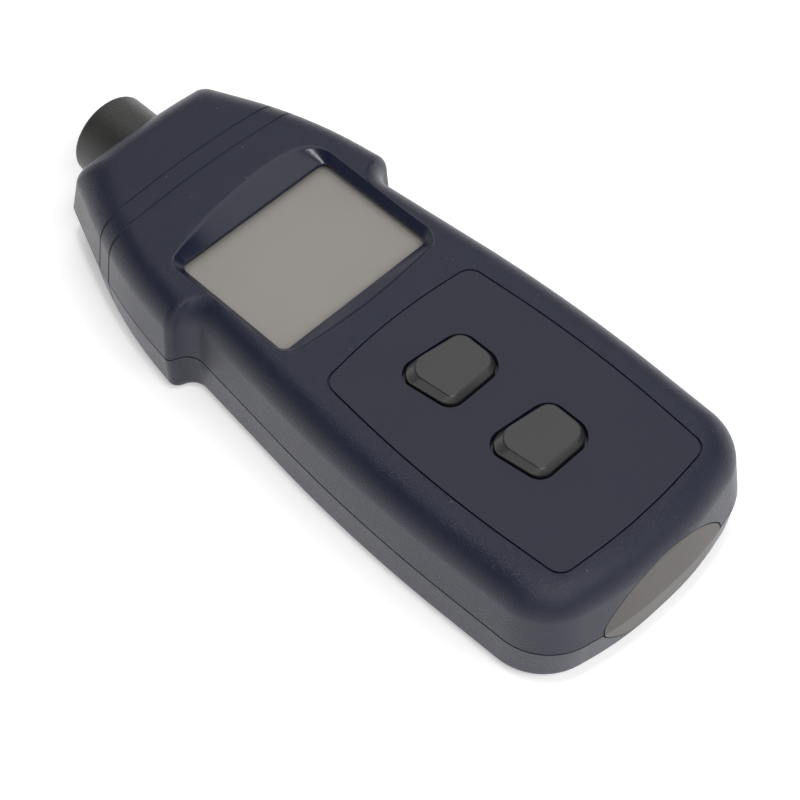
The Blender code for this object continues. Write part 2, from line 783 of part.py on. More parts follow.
grooves = groove_cutters()
tube_line = [(0, y, TUBE_HEIGHT) for y in (TUBE_BACK_Y - 0.004, NOSE_Y + 0.01)]
tube_hole = rod("tube_hole", TUBE_RADIUS + GAP, *tube_line, sides=TUBE_SIDES)
insert_hole = upright(
    "insert_hole",
    [insert_outline(GAP)],
    BASE_Y - 0.004,
    BASE_Y + INSERT_DEPTH + INSERT_FLANGE_THICKNESS + GAP,
)


core_levels = front_levels(PARTING_HEIGHT - WALL / 2, WALL / 2, 3, INSIDE_DETAIL)
case_core = loft("case_core", core_levels, None, cutters)
lip_keep = box("lip_keep", (-0.1, BASE_Y + LIP_BASE_END, 0), (0.1, NOSE_Y - LIP_NOSE_END, 0.1))
whole_levels = back_levels(PARTING_HEIGHT) + front_levels(PARTING_HEIGHT)[1:]
case_whole = loft("case_whole", whole_levels, None, cutters)


def make_front_shell():
    """The front half of the case: one moulding with the display recess, the
    label seat, the key holes and the posts and bosses behind them."""
    seam_z = PARTING_HEIGHT + MIDDLE_SEAM
    shell = loft("front_shell", front_levels(seam_z), NAVY, parts)
    inside = front_levels(seam_z - 0.002, WALL, 3, INSIDE_DETAIL)
    room = loft("front_room", inside, None, cutters)
    cut(shell, room)
    pad = plate("display_pad", [recess_outline(0.0014)], PAD_BOTTOM, ROOF_Z)
    join(shell, pad)
    for number, (x, y) in enumerate(screw_places()):
        name = f"front_boss_{number + 1}"
        boss = rod(name, BOSS_RADIUS, (x, y, seam_z), (x, y, ROOF_Z), sides=BOSS_SIDES)
        keep_common(boss, case_core)
        join(shell, boss)
    for number, (x, y) in enumerate(board_screw_places()):
        foot = (x, y, BOARD_TOP + GAP)
        post = rod(f"post_{number + 1}", POST_RADIUS, foot, (x, y, ROOF_Z), sides=BOSS_SIDES)
        join(shell, post)
    rib = box(
        "front_tube_rib",
        (-RIB_HALF_WIDTH, RIB_Y - RIB_THICKNESS, seam_z),
        (RIB_HALF_WIDTH, RIB_Y, ROOF_Z),
    )
    keep_common(rib, case_core)
    join(shell, rib)
    lip_room = plate(
        "lip_room",
        [lip_outline(WALL / 2 - GAP / 2), lip_outline(WALL + GAP)],
        PARTING_HEIGHT - 0.001,
        PARTING_HEIGHT + LIP_HEIGHT + GAP,
    )
    keep_common(lip_room, lip_keep)
    cut(shell, lip_room)
    cut(shell, tube_hole)
    pocket = window_outline(PANE_MARGIN + GAP)
    display_well = loft(
        "display_well",
        [
            (pocket, PAD_BOTTOM - 0.001),
            (pocket, RECESS_FLOOR - WINDOW_LIP),
            (window_outline(), RECESS_FLOOR - WINDOW_LIP),
            (window_outline(), RECESS_FLOOR),
            (recess_outline(), BODY_HEIGHT),
            (recess_outline(0.0004), BODY_HEIGHT + 0.0004),
        ],
        None,
        cutters,
    )
    cut(shell, display_well)
    seat = plate("label_seat", [label_outline()], BODY_HEIGHT - LABEL_SEAT, BODY_HEIGHT + 0.002)
    cut(shell, seat)
    for name, y in KEY_PLACES.items():
        hole = plate(f"{name}_hole", [key_outline(y)], CEILING - 0.001, BODY_HEIGHT + 0.002)
        cut(shell, hole)
    for number, (x, y) in enumerate(screw_places()):
        pilot = rod(
            f"pilot_{number + 1}",
            CASE_SCREW_RADIUS + GAP,
            (x, y, PARTING_HEIGHT - 0.002),
            (x, y, CASE_SCREW_SINK + CASE_SCREW_HEAD + CASE_SCREW_LENGTH + 2 * GAP),
            sides=12,
        )
        cut(shell, pilot)
    for number, (x, y) in enumerate(board_screw_places()):
        pilot = rod(
            f"board_pilot_{number + 1}",
            BOARD_SCREW_RADIUS + GAP,
            (x, y, BOARD_TOP - 0.001),
            (x, y, BOARD_BOTTOM + BOARD_SCREW_LENGTH + GAP),
            sides=10,
        )
        cut(shell, pilot)
    cut(shell, insert_hole)
    for groove in grooves:
        cut(shell, groove)
    return shell


def make_rear_shell():
    """The back half of the case: one moulding with the battery bay, the door
    seat, the sunk screw bosses and a lip that the front half fits over."""
    seam_z = PARTING_HEIGHT - MIDDLE_SEAM
    shell = loft("rear_shell", back_levels(seam_z), NAVY, parts)
    inside = back_levels(seam_z + 0.002, WALL, 1, INSIDE_DETAIL)
    room = loft("rear_room", inside, None, cutters)
    cut(shell, room)
    lip = plate(
        "lip",
        [lip_outline(WALL / 2 + GAP / 2), lip_outline(WALL)],
        PARTING_HEIGHT - 0.003,
        PARTING_HEIGHT + LIP_HEIGHT,
    )
    keep_common(lip, lip_keep)
    join(shell, lip)
    outer_x = BAY_HALF_WIDTH + BAY_WALL
    tub = box(
        "bay_block",
        (-outer_x, BAY_LOW_Y - BAY_WALL, WALL / 2),
        (outer_x, BAY_HIGH_Y + BAY_WALL, BAY_TOP),
    )
    join(shell, tub)
    for number, side in enumerate((-1, 1)):
        x = side * RAIL_X
        rail = box(
            f"board_rail_{number + 1}",
            (x - RAIL_WIDTH / 2, BOARD_LOW_Y + 0.002, BAY_TOP - 0.0005),
            (x + RAIL_WIDTH / 2, BAY_HIGH_Y - 0.002, BOARD_BOTTOM - GAP),
        )
        join(shell, rail)
    for number, (x, y) in enumerate(screw_places()):
        name = f"rear_boss_{number + 1}"
        radius = CASE_SCREW_HEAD_RADIUS + GAP + BOSS_WALL
        boss = rod(name, radius, (x, y, WALL / 2), (x, y, seam_z), sides=BOSS_SIDES)
        join(shell, boss)
    rib = box(
        "rear_tube_rib",
        (-RIB_HALF_WIDTH, RIB_Y - RIB_THICKNESS, WALL / 2),
        (RIB_HALF_WIDTH, RIB_Y, seam_z),
    )
    join(shell, rib)
    bay_room = box(
        "bay_room",
        (-BAY_HALF_WIDTH, BAY_LOW_Y, -0.002),
        (BAY_HALF_WIDTH, BAY_HIGH_Y, BAY_CEILING),
    )
    cut(shell, bay_room)
    seat = plate("door_seat", [door_outline(-GAP)], -0.002, DOOR_SET_IN + DOOR_THICKNESS + GAP)
    cut(shell, seat)
    for number, side in enumerate((-1, 1)):
        x = side * HOOK_SPACING / 2
        slot = box(
            f"hook_slot_{number + 1}",
            (x - HOOK_WIDTH / 2 - GAP, BAY_LOW_Y - HOOK_REACH - HOOK_ROOM, HOOK_LEDGE),
            (x + HOOK_WIDTH / 2 + GAP, BAY_LOW_Y + OVERLAP, HOOK_LEDGE + HOOK_THICKNESS + OVERLAP),
        )
        cut(shell, slot)
    cut(shell, tube_hole)
    for number, (x, y) in enumerate(screw_places()):
        sink = rod(
            f"sink_{number + 1}",
            CASE_SCREW_HEAD_RADIUS + GAP,
            (x, y, -0.002),
            (x, y, CASE_SCREW_SINK + CASE_SCREW_HEAD + GAP),
            sides=20,
        )
        cut(shell, sink)
        bore = rod(
            f"bore_{number + 1}",
            CASE_SCREW_RADIUS + GAP,
            (x, y, 0),
            (x, y, PARTING_HEIGHT + 0.002),
            sides=12,
        )
        cut(shell, bore)
    for number, side in enumerate((-1, 1)):
        notch = box(
            f"lead_notch_{number + 1}",
            (side * LEAD_X - 0.002, BAY_HIGH_Y - 0.001, CELL_AXIS_Z + LEAD_RISE - 0.0016),
            (side * LEAD_X + 0.002, BAY_HIGH_Y + BAY_WALL + 0.001, BAY_CEILING - 0.0004),
        )
        cut(shell, notch)
    finger_y = BAY_HIGH_Y + DOOR_LEDGE + SCOOP_OFFSET
    finger_line = [(0, finger_y, z) for z in (-SCOOP_RADIUS, SCOOP_DEPTH)]
    finger = rod("finger_scoop", SCOOP_RADIUS, *finger_line, sides=32)
    cut(shell, finger)
    cut(shell, insert_hole)
    for groove in grooves:
        cut(shell, groove)
    return shell


def door_outline(inset=0.0):
    """The battery door seen from the back."""
    x = BAY_HALF_WIDTH + DOOR_LEDGE - inset
    low = BAY_LOW_Y - DOOR_LEDGE + inset
    high = BAY_HIGH_Y + DOOR_LEDGE - inset
    corners = [
        (x, high, 0.003, 4),
        (x, low, 0.001, 2),
        (-x, low, 0.001, 2),
        (-x, high, 0.003, 4),
    ]
    return rounded(corners)


def make_battery_door():
    """The battery door: a plate with two hooks at its base end, a grip
    ribbing by its free end and a tongue that steadies it in the bay."""
    low, high = DOOR_SET_IN, DOOR_SET_IN + DOOR_THICKNESS
    door = plate("battery_door", [door_outline()], low, high, NAVY, parts)
    hook_top = HOOK_LEDGE + GAP + HOOK_THICKNESS
    for number, side in enumerate((-1, 1)):
        x = side * HOOK_SPACING / 2
        riser = box(
            f"hook_riser_{number + 1}",
            (x - HOOK_WIDTH / 2, BAY_LOW_Y - DOOR_LEDGE + HOOK_SET_BACK, high - OVERLAP),
            (x + HOOK_WIDTH / 2, BAY_LOW_Y + HOOK_LENGTH_INSIDE, hook_top),
        )
        join(door, riser)
        tongue = box(
            f"hook_tongue_{number + 1}",
            (x - HOOK_WIDTH / 2, BAY_LOW_Y - HOOK_REACH, hook_top - HOOK_THICKNESS),
            (x + HOOK_WIDTH / 2, BAY_LOW_Y, hook_top),
        )
        join(door, tongue)
    tongue_y = BAY_HIGH_Y - GAP
    latch = box(
        "latch_tongue",
        (-LATCH_HALF_WIDTH, tongue_y - LATCH_THICKNESS, high - OVERLAP),
        (LATCH_HALF_WIDTH, tongue_y, high + LATCH_RISE),
    )
    join(door, latch)
    for number in range(GRIP_COUNT):
        y = BAY_HIGH_Y - GRIP_FROM_END - number * GRIP_PITCH
        groove = box(
            f"grip_groove_{number + 1}",
            (-GRIP_HALF_LENGTH, y - GRIP_HALF_WIDTH, low - OVERLAP),
            (GRIP_HALF_LENGTH, y + GRIP_HALF_WIDTH, low + GRIP_DEPTH),
        )
        cut(door, groove)
    set_origin(door, (0, BAY_LOW_Y - DOOR_LEDGE, DOOR_SET_IN))
    return door


def make_front_label():
    """The thin label plate, let into the front round both keys."""
    holes = [key_outline(y) for y in KEY_PLACES.values()]
    outlines = [label_outline(GAP), *holes]
    return plate(
        "front_label",
        outlines,
        BODY_HEIGHT - LABEL_THICKNESS,
        BODY_HEIGHT,
        LABEL_NAVY,
        parts,
    )


def make_key(key, centre_y):
    """One key with its keeper flange and stem, the plunger that it presses
    and the push switch under them."""
    cap = key_outline(centre_y, KEY_CLEARANCE)
    flange = key_outline(centre_y, -KEY_FLANGE)
    top_z = BODY_HEIGHT + KEY_RISE
    flange_top = SEAT_Z + KEY_FLANGE_THICKNESS
    button = loft(
        f"{key}_button",
        [
            (flange, SEAT_Z),
            (flange, flange_top),
            (cap, flange_top),
            (cap, top_z - KEY_CHAMFER),
            (key_top_outline(centre_y), top_z),
        ],
        CHARCOAL,
        parts,
    )
    stem = rod(
        f"{key}_stem",
        KEY_STEM_RADIUS,
        (KEY_OFF_CENTRE, centre_y, STEM_BOTTOM),
        (KEY_OFF_CENTRE, centre_y, SEAT_Z + KEY_FLANGE_THICKNESS / 2),
        sides=16,
    )
    join(button, stem)
    set_origin(button, (KEY_OFF_CENTRE, centre_y, SEAT_Z))
    plunger = rod(
        f"{key}_plunger",
        PLUNGER_RADIUS,
        (KEY_OFF_CENTRE, centre_y, SWITCH_TOP - PLUNGER_DEPTH),
        (KEY_OFF_CENTRE, centre_y, PLUNGER_TOP),
        BLACK,
        parts,
        sides=16,
    )
    set_origin(plunger, (KEY_OFF_CENTRE, centre_y, SWITCH_TOP))
    half = SWITCH_SIZE / 2
    switch = box(
        f"{key}_switch",
        (KEY_OFF_CENTRE - half, centre_y - half, BOARD_TOP + GAP),
        (KEY_OFF_CENTRE + half, centre_y + half, SWITCH_TOP),
        STEEL,
        parts,
    )
    well = rod(
        f"{key}_switch_well",
        PLUNGER_RADIUS + GAP,
        (KEY_OFF_CENTRE, centre_y, SWITCH_TOP - PLUNGER_DEPTH - KEY_TRAVEL - GAP),
        (KEY_OFF_CENTRE, centre_y, SWITCH_TOP + 0.001),
        sides=16,
    )
    cut(switch, well)


def turned_along_y(name, profile, finish, place, sides, closed=False, flip=False):
    """A turned piece whose axis runs along Y, its profile points given as
    (radius, distance along Y from its place)."""
    made = turned(name, profile, finish, steps=sides, closed=closed)
    made.rotation_euler.x = math.radians(90 if flip else -90)
    made.location = place
    return smooth(made)


def make_sensor_head():
    """The sensor tube with its lens, the optics in it and their board."""
    chamfer = 0.0005
    tube = turned_along_y(
        "sensor_tube",
        [
            (LENS_RADIUS, TUBE_REACH),
            (TUBE_RADIUS - chamfer, TUBE_REACH),
            (TUBE_RADIUS, TUBE_REACH - chamfer),
            (TUBE_RADIUS, -TUBE_INSIDE),
            (TUBE_BORE_RADIUS, -TUBE_INSIDE),
            (TUBE_BORE_RADIUS, LENS_SEAT_Y - NOSE_Y),
            (LENS_RADIUS, LENS_SEAT_Y - NOSE_Y),
        ],
        TUBE_BLACK,
        (0, NOSE_Y, TUBE_HEIGHT),
        TUBE_SIDES,
        closed=True,
    )
    for number, side in enumerate((-1, 1)):
        near, far = sorted((side * (TUBE_BORE_RADIUS + 0.0013), side * (TUBE_RADIUS + EAR_REACH)))
        ear = box(
            f"tube_ear_{number + 1}",
            (near, EAR_FRONT_Y - EAR_THICKNESS, TUBE_HEIGHT - EAR_HEIGHT / 2),
            (far, EAR_FRONT_Y, TUBE_HEIGHT + EAR_HEIGHT / 2),
        )
        join(tube, ear)
    lens_radius = LENS_RADIUS - GAP
    turned_along_y(
        "front_lens",
        [
            (0.0, LENS_THICKNESS),
            (lens_radius * 0.55, LENS_THICKNESS * 0.85),
            (lens_radius, LENS_THICKNESS * 0.5),
            (lens_radius, 0.0),
            (0.0, 0.0),
        ],
        OPTIC_RED,
        (0, LENS_SEAT_Y + GAP, TUBE_HEIGHT),
        TUBE_SIDES,
    )
    holder_y = TUBE_BACK_Y + HOLDER_FROM_BACK
    holder = rod(
        "optics_holder",
        TUBE_BORE_RADIUS - GAP,
        (0, holder_y, TUBE_HEIGHT),
        (0, holder_y + HOLDER_LENGTH, TUBE_HEIGHT),
        BLACK,
        parts,
        sides=24,
    )
    optics = (
        ("laser_module", LASER_X, LASER_RADIUS, LASER_LENGTH, BRASS),
        ("photodiode", DIODE_X, DIODE_RADIUS, DIODE_LENGTH, BLACK),
    )
    for name, x, radius, length, finish in optics:
        passage = rod(
            f"{name}_passage",
            radius + GAP,
            (x, holder_y - 0.001, TUBE_HEIGHT),
            (x, holder_y + HOLDER_LENGTH + 0.001, TUBE_HEIGHT),
            sides=16,
        )
        cut(holder, passage)
        turned_along_y(
            name,
            [
                (0.0, length),
                (radius * 0.55, length - radius * 0.1),
                (radius, length - radius * 0.45),
                (radius, 0.0),
                (0.0, 0.0),
            ],
            finish,
            (x, TUBE_BACK_Y, TUBE_HEIGHT),
            16,
        )
    half_x, half_z = SENSOR_BOARD_WIDTH / 2, SENSOR_BOARD_HEIGHT / 2
    corners = [(-half_x, -half_z), (half_x, -half_z), (half_x, half_z), (-half_x, half_z)]
    outline = rounded([(x, TUBE_HEIGHT + z, 0.003, 2) for x, z in corners])
    back_y = TUBE_BACK_Y - GAP
    upright(
        "sensor_board", [outline], back_y - BOARD_THICKNESS, back_y, BOARD_GREEN, parts
    )
    for number, side in enumerate((-1, 1)):
        x = side * SENSOR_LEAD_X
        board_z = BOARD_BOTTOM - GAP - SENSOR_LEAD_RADIUS
        start_y = back_y - BOARD_THICKNESS - GAP
        route = [
            (x, start_y, TUBE_HEIGHT + 0.002),
            (x, start_y - 0.005, TUBE_HEIGHT + 0.0025),
            (x, start_y - 0.009, board_z - 0.001),
            (x, start_y - 0.012, board_z),
            (x, BOARD_HIGH_Y - 0.006, board_z),
        ]
        tube_along(f"sensor_lead_{number + 1}", route, SENSOR_LEAD_RADIUS, BLACK, parts, 0)


def make_end_insert():
    """The grey insert let into the base end: its face follows the case, and
    a rim behind the wall keeps it there."""
    rim_y = BASE_Y + INSERT_DEPTH
    back_y = rim_y + INSERT_FLANGE_THICKNESS
    insert = upright(
        "end_insert",
        [insert_outline()],
        BASE_Y - 0.003,
        back_y,
        WARM_GREY,
        parts,
    )
    keep_common(insert, case_whole)
    rim = upright("insert_rim", [insert_outline(INSERT_FLANGE)], rim_y, back_y)
    above_back = box("above_back", (-0.1, -0.2, WALL + GAP), (0.1, 0.2, 0.1))
    keep_common(rim, above_back)
    join(insert, rim)
    return insert


def screw(name, place, radius, head_radius, head, length, sides):
    """A screw that points up."""
    profile = [
        (0.0, head + length),
        (radius * 0.6, head + length),
        (radius, head + length - radius * 1.2),
        (radius, head),
        (head_radius, head),
        (head_radius, head * 0.35),
        (head_radius * 0.75, 0.0),
        (0.0, 0.0),
    ]
    made = turned(name, profile, STEEL, steps=sides)
    made.location = place
    return smooth(made)


def cut_cross(made, place, arm, half, depth):
    """Sinks a cross recess into the head of a screw."""
    x, y, low = place
    for tag, reach_x, reach_y in (("a", arm, half), ("b", half, arm)):
        slot = box(
            f"{made.name}_slot_{tag}",
            (x - reach_x, y - reach_y, low - 0.001),
            (x + reach_x, y + reach_y, low + depth),
        )
        cut(made, slot)


def make_screws():
    """The four case screws and the four board screws."""
    for number, (x, y) in enumerate(screw_places()):
        place = (x, y, CASE_SCREW_SINK)
        made = screw(
            f"case_screw_{number + 1}",
            place,
            CASE_SCREW_RADIUS,
            CASE_SCREW_HEAD_RADIUS,
            CASE_SCREW_HEAD,
            CASE_SCREW_LENGTH,
            12,
        )
        arm, half = CASE_SCREW_HEAD_RADIUS * 0.55, CASE_SCREW_RADIUS * 0.24
        cut_cross(made, place, arm, half, CASE_SCREW_HEAD / 2)
    for number, (x, y) in enumerate(board_screw_places()):
        screw(
            f"board_screw_{number + 1}",
            (x, y, BOARD_BOTTOM - GAP - BOARD_SCREW_HEAD),
            BOARD_SCREW_RADIUS,
            BOARD_SCREW_HEAD_RADIUS,
            BOARD_SCREW_HEAD,
            BOARD_SCREW_LENGTH,
            10,
        )


def circle(centre, radius, count):
    """A round outline."""
    x, y = centre
    return [
        (
            x + radius * math.cos(math.tau * k / count),
            y + radius * math.sin(math.tau * k / count),
        )
        for k in range(count)
    ]


def rectangle(x, low_y, high_y, corner=0.0):
    """An upright rectangle about the centre line, its corners cut."""
    places = [(x, high_y), (-x, high_y), (-x, low_y), (x, low_y)]
    return rounded([(px, py, corner, 1) for px, py in places])


def make_main_board():
    """The main board with the parts that hang under it."""
    holes = [circle(place, BOARD_SCREW_RADIUS + GAP, 10) for place in board_screw_places()]
    outline = rectangle(BOARD_WIDTH / 2, BOARD_LOW_Y, BOARD_HIGH_Y, 0.002)
    plate("main_board", [outline, *holes], BOARD_BOTTOM, BOARD_TOP, BOARD_GREEN, parts)
    under = BOARD_BOTTOM - GAP
    levels = []
    for inset, drop in ((CHIP_TAPER, CHIP_HEIGHT), (0.0, CHIP_HEIGHT / 2), (CHIP_TAPER, 0.0)):
        half = CHIP_SIZE / 2 - inset
        outline = rectangle(half, CHIP_Y - half, CHIP_Y + half, CHIP_TAPER)
        levels.append((outline, under - drop))
    loft("controller_chip", levels, BLACK, parts)
    x, y = CRYSTAL_PLACE
    reach, half = CRYSTAL_LENGTH / 2, CRYSTAL_WIDTH / 2
    corners = [(reach, half), (-reach, half), (-reach, -half), (reach, -half)]
    can = rounded([(x + px, y + py, half * 0.95, 3) for px, py in corners])
    plate("crystal", [can], under - CRYSTAL_HEIGHT, under, STEEL, parts)
    radius = CAPACITOR_RADIUS
    sleeve = [
        (0.0, CAPACITOR_LENGTH),
        (radius - 0.0005, CAPACITOR_LENGTH),
        (radius, CAPACITOR_LENGTH - 0.0005),
        (radius, 0.0005),
        (radius - 0.0005, 0.0),
        (0.0, 0.0),
    ]
    capacitor = turned("capacitor", sleeve, NAVY, steps=16)
    capacitor.location = (*CAPACITOR_PLACE, under - CAPACITOR_LENGTH)
    smooth(capacitor)


def make_display():
    """The window pane, the liquid-crystal cell under it, the frame that
    holds the cell and the two contact strips that it stands on."""
    plate(
        "display_window",
        [window_outline(PANE_MARGIN)],
        PANE_TOP - PANE_THICKNESS,
        PANE_TOP,
        CLEAR,
        parts,
    )
    x = WINDOW_WIDTH / 2 + LCD_MARGIN
    low_y, high_y = WINDOW_LOW_Y - LCD_MARGIN, WINDOW_TOP_Y + LCD_MARGIN
    bottom = LCD_TOP - LCD_THICKNESS
    middle = bottom + LCD_THICKNESS / 2
    lower_glass = rectangle(x, low_y, high_y)
    upper_glass = rectangle(x, low_y + LCD_LEDGE / 3, high_y)
    loft(
        "lcd_cell",
        [
            (lower_glass, bottom),
            (lower_glass, middle),
            (upper_glass, middle),
            (upper_glass, LCD_TOP),
        ],
        LCD_GREY,
        parts,
    )
    inner, outer = GAP, GAP + LCD_FRAME_WALL
    plate(
        "lcd_frame",
        [
            rectangle(x + outer, low_y - outer, high_y + outer, 0.001),
            rectangle(x + inner, low_y - inner, high_y + inner),
        ],
        BOARD_TOP + GAP,
        PAD_BOTTOM - GAP,
        BLACK,
        parts,
    )
    strips = (("lower", low_y + 0.001), ("upper", high_y - 0.001 - STRIP_WIDTH))
    for tag, strip_y in strips:
        box(
            f"contact_strip_{tag}",
            (-WINDOW_WIDTH / 2, strip_y, BOARD_TOP + GAP),
            (WINDOW_WIDTH / 2, strip_y + STRIP_WIDTH, bottom - GAP),
            RUBBER,
            parts,
        )


def contact(name, low_x, high_x, low_y):
    """A flat spring-steel contact that stands against an end of the bay."""
    low, high = CELL_AXIS_Z - CONTACT_HALF_SIZE, CELL_AXIS_Z + CONTACT_RISE
    corners = [(low_x, low), (high_x, low), (high_x, high), (low_x, high)]
    outline = rounded([(x, z, 0.001, 2) for x, z in corners])
    upright(name, [outline], low_y, low_y + CONTACT_THICKNESS, STEEL, parts)


def make_batteries():
    """Four round cells side by side, head to tail, with their contacts,
    springs and leads."""
    first_x = -CELL_PITCH * (CELL_COUNT - 1) / 2
    low_contact_y = BAY_LOW_Y + GAP
    high_contact_y = BAY_HIGH_Y - GAP - CONTACT_THICKNESS
    profile = [
        (0.0, CELL_LENGTH),
        (NUB_RADIUS, CELL_LENGTH),
        (NUB_RADIUS, CELL_LENGTH - NUB_HEIGHT),
        (CELL_RADIUS - 0.0006, CELL_LENGTH - NUB_HEIGHT),
        (CELL_RADIUS, CELL_LENGTH - NUB_HEIGHT - 0.0006),
        (CELL_RADIUS, 0.0004),
        (CELL_RADIUS - 0.0004, 0.0),
        (0.0, 0.0),
    ]
    for number in range(CELL_COUNT):
        x = first_x + CELL_PITCH * number
        nub_up = number % 2 == 0
        if nub_up:
            foot_y = high_contact_y - GAP - CELL_LENGTH
            spring_low, spring_high = low_contact_y + CONTACT_THICKNESS, foot_y
        else:
            foot_y = low_contact_y + CONTACT_THICKNESS + GAP + CELL_LENGTH
            spring_low, spring_high = foot_y, high_contact_y
        turned_along_y(
            f"battery_{number + 1}",
            profile,
            CELL_COAT,
            (x, foot_y, CELL_AXIS_Z),
            20,
            flip=not nub_up,
        )
        start = spring_low + GAP + SPRING_WIRE
        rise = spring_high - spring_low - 2 * (GAP + SPRING_WIRE)
        points = []
        count = SPRING_TURNS * 8
        for k in range(count + 1):
            part = k / count
            angle = math.tau * SPRING_TURNS * part
            narrow = part if nub_up else 1 - part
            radius = SPRING_RADIUS * (1 - 0.3 * narrow)
            points.append(
                (
                    x + radius * math.cos(angle),
                    start + rise * part,
                    CELL_AXIS_Z + radius * math.sin(angle),
                )
            )
        tube_along(f"contact_spring_{number + 1}", points, SPRING_WIRE, STEEL, parts, 0)
    reach = CONTACT_HALF_SIZE
    last_x = -first_x
    inner_x = last_x - CELL_PITCH
    contact("contact_link_left", first_x - reach, -inner_x + reach, low_contact_y)
    contact("contact_link_right", inner_x - reach, last_x + reach, low_contact_y)
    contact("contact_link_middle", -inner_x - reach, inner_x + reach, high_contact_y)
    contact("contact_plus", first_x - reach, first_x + reach, high_contact_y)
    contact("contact_minus", last_x - reach, last_x + reach, high_contact_y)
    for tag, side, finish in (("red", -1, RED), ("black", 1, BLACK)):
        x = side * LEAD_X
        start_y = BAY_HIGH_Y
        low_z = CELL_AXIS_Z + LEAD_RISE
        board_z = BOARD_BOTTOM - GAP - LEAD_RADIUS
        route = [
            (x, start_y, low_z),
            (x, start_y + LEAD_STRAIGHT, low_z),
            (x, start_y + LEAD_STRAIGHT + LEAD_BEND, low_z + 0.8 * LEAD_BEND),
            (x * 0.98, start_y + LEAD_STRAIGHT + 2 * LEAD_BEND, board_z),
            (x * 0.9, start_y + LEAD_STRAIGHT + 2 * LEAD_BEND + LEAD_RUN, board_z),
        ]
        tube_along(f"battery_lead_{tag}", route, LEAD_RADIUS, finish, parts, 0)


front_shell = make_front_shell()
rear_shell = make_rear_shell()
battery_door = make_battery_door()
make_front_label()
for key, key_y in KEY_PLACES.items():
    make_key(key, key_y)
make_sensor_head()
make_end_insert()
make_screws()
make_main_board()
make_display()
make_batteries()
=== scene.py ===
"""Looks of the hand-held laser tachometer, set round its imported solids.

Everything is in metres in the solids' own frame: X across the instrument,
Y from its base end to its nose, Z out of its front.
"""
import math

import bmesh
import bpy
from mathutils import Matrix, Vector


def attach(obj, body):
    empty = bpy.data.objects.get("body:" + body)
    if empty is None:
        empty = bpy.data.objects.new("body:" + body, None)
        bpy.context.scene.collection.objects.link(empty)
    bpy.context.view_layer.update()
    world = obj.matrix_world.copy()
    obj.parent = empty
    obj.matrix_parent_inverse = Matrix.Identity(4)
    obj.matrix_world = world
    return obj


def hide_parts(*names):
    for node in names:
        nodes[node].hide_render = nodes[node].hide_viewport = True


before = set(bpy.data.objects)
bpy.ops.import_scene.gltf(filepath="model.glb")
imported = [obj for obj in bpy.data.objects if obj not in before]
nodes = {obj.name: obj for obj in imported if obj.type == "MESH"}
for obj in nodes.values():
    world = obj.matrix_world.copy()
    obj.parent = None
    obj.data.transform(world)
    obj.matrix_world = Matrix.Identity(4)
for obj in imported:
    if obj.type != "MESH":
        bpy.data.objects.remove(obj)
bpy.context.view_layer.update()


def put(name, data):
    """A new object in the scene."""
    made = bpy.data.objects.new(name, data)
    bpy.context.scene.collection.objects.link(made)
    return made


def new_object(name, bm):
    """A bmesh as an object in the scene."""
    mesh = bpy.data.meshes.new(name)
    bm.to_mesh(mesh)
    bm.free()
    return put(name, mesh)


def work_out(tree, operation, first, second):
    """The result of one operation on two outputs or numbers."""
    step = tree.nodes.new("ShaderNodeMath")
    step.operation = operation
    for socket, value in zip(step.inputs, (first, second)):
        if isinstance(value, float):
            socket.default_value = value
        else:
            tree.links.new(value, socket)
    return step.outputs[0]


# Camera, at the photograph's angle and distance. Its frame is 800 by 800
# pixels, and its lens gives 2202.8 pixels of focal length.
CAMERA_PLACE = (-0.22735, -0.24015, 0.44763)
CAMERA_RIGHT = (0.70774, -0.70647, -0.00202)
CAMERA_UP = (0.57417, 0.57353, 0.58429)
CAMERA_BACK = (-0.41162, -0.41469, 0.81154)
SENSOR = 36.0
FOCAL_PIXELS = 2202.8
FRAME_PIXELS = 800

eye = bpy.data.cameras.new("studio_camera")
eye.sensor_width = SENSOR
eye.lens = SENSOR * FOCAL_PIXELS / FRAME_PIXELS
eye.clip_start = 0.02
camera = put("studio_camera", eye)
turn = Matrix((CAMERA_RIGHT, CAMERA_UP, CAMERA_BACK)).transposed().to_4x4()
camera.matrix_world = Matrix.Translation(CAMERA_PLACE) @ turn
bpy.context.scene.camera = camera
bpy.context.scene.view_settings.view_transform = "Standard"

# Studio floor: a wide sheet of white board under the instrument. It looks
# white to the camera and in reflections, and keeps the soft shadow.
FLOOR_SIZE = 6.0
FLOOR_DROP = 0.0002
FLOOR_WHITE = (0.88, 0.88, 0.88, 1.0)
FLOOR_TO_CAMERA = 0.30
FLOOR_TO_GLOSS = 0.52

bm = bmesh.new()
bmesh.ops.create_grid(bm, x_segments=8, y_segments=8, size=FLOOR_SIZE / 2)
bmesh.ops.translate(bm, verts=bm.verts, vec=(0, 0, -FLOOR_DROP))
floor = new_object("studio_floor", bm)
board = bpy.data.materials.new("white_board")
board.use_nodes = True
tree = board.node_tree
shader = tree.nodes["Principled BSDF"]
shader.inputs["Base Color"].default_value = FLOOR_WHITE
shader.inputs["Roughness"].default_value = 0.85
shader.inputs["Emission Color"].default_value = (1, 1, 1, 1)
path = tree.nodes.new("ShaderNodeLightPath").outputs
to_camera = work_out(tree, "MULTIPLY", path["Is Camera Ray"], FLOOR_TO_CAMERA)
to_gloss = work_out(tree, "MULTIPLY", path["Is Glossy Ray"], FLOOR_TO_GLOSS)
glow = work_out(tree, "ADD", to_camera, to_gloss)
tree.links.new(glow, shader.inputs["Emission Strength"])
floor.data.materials.append(board)

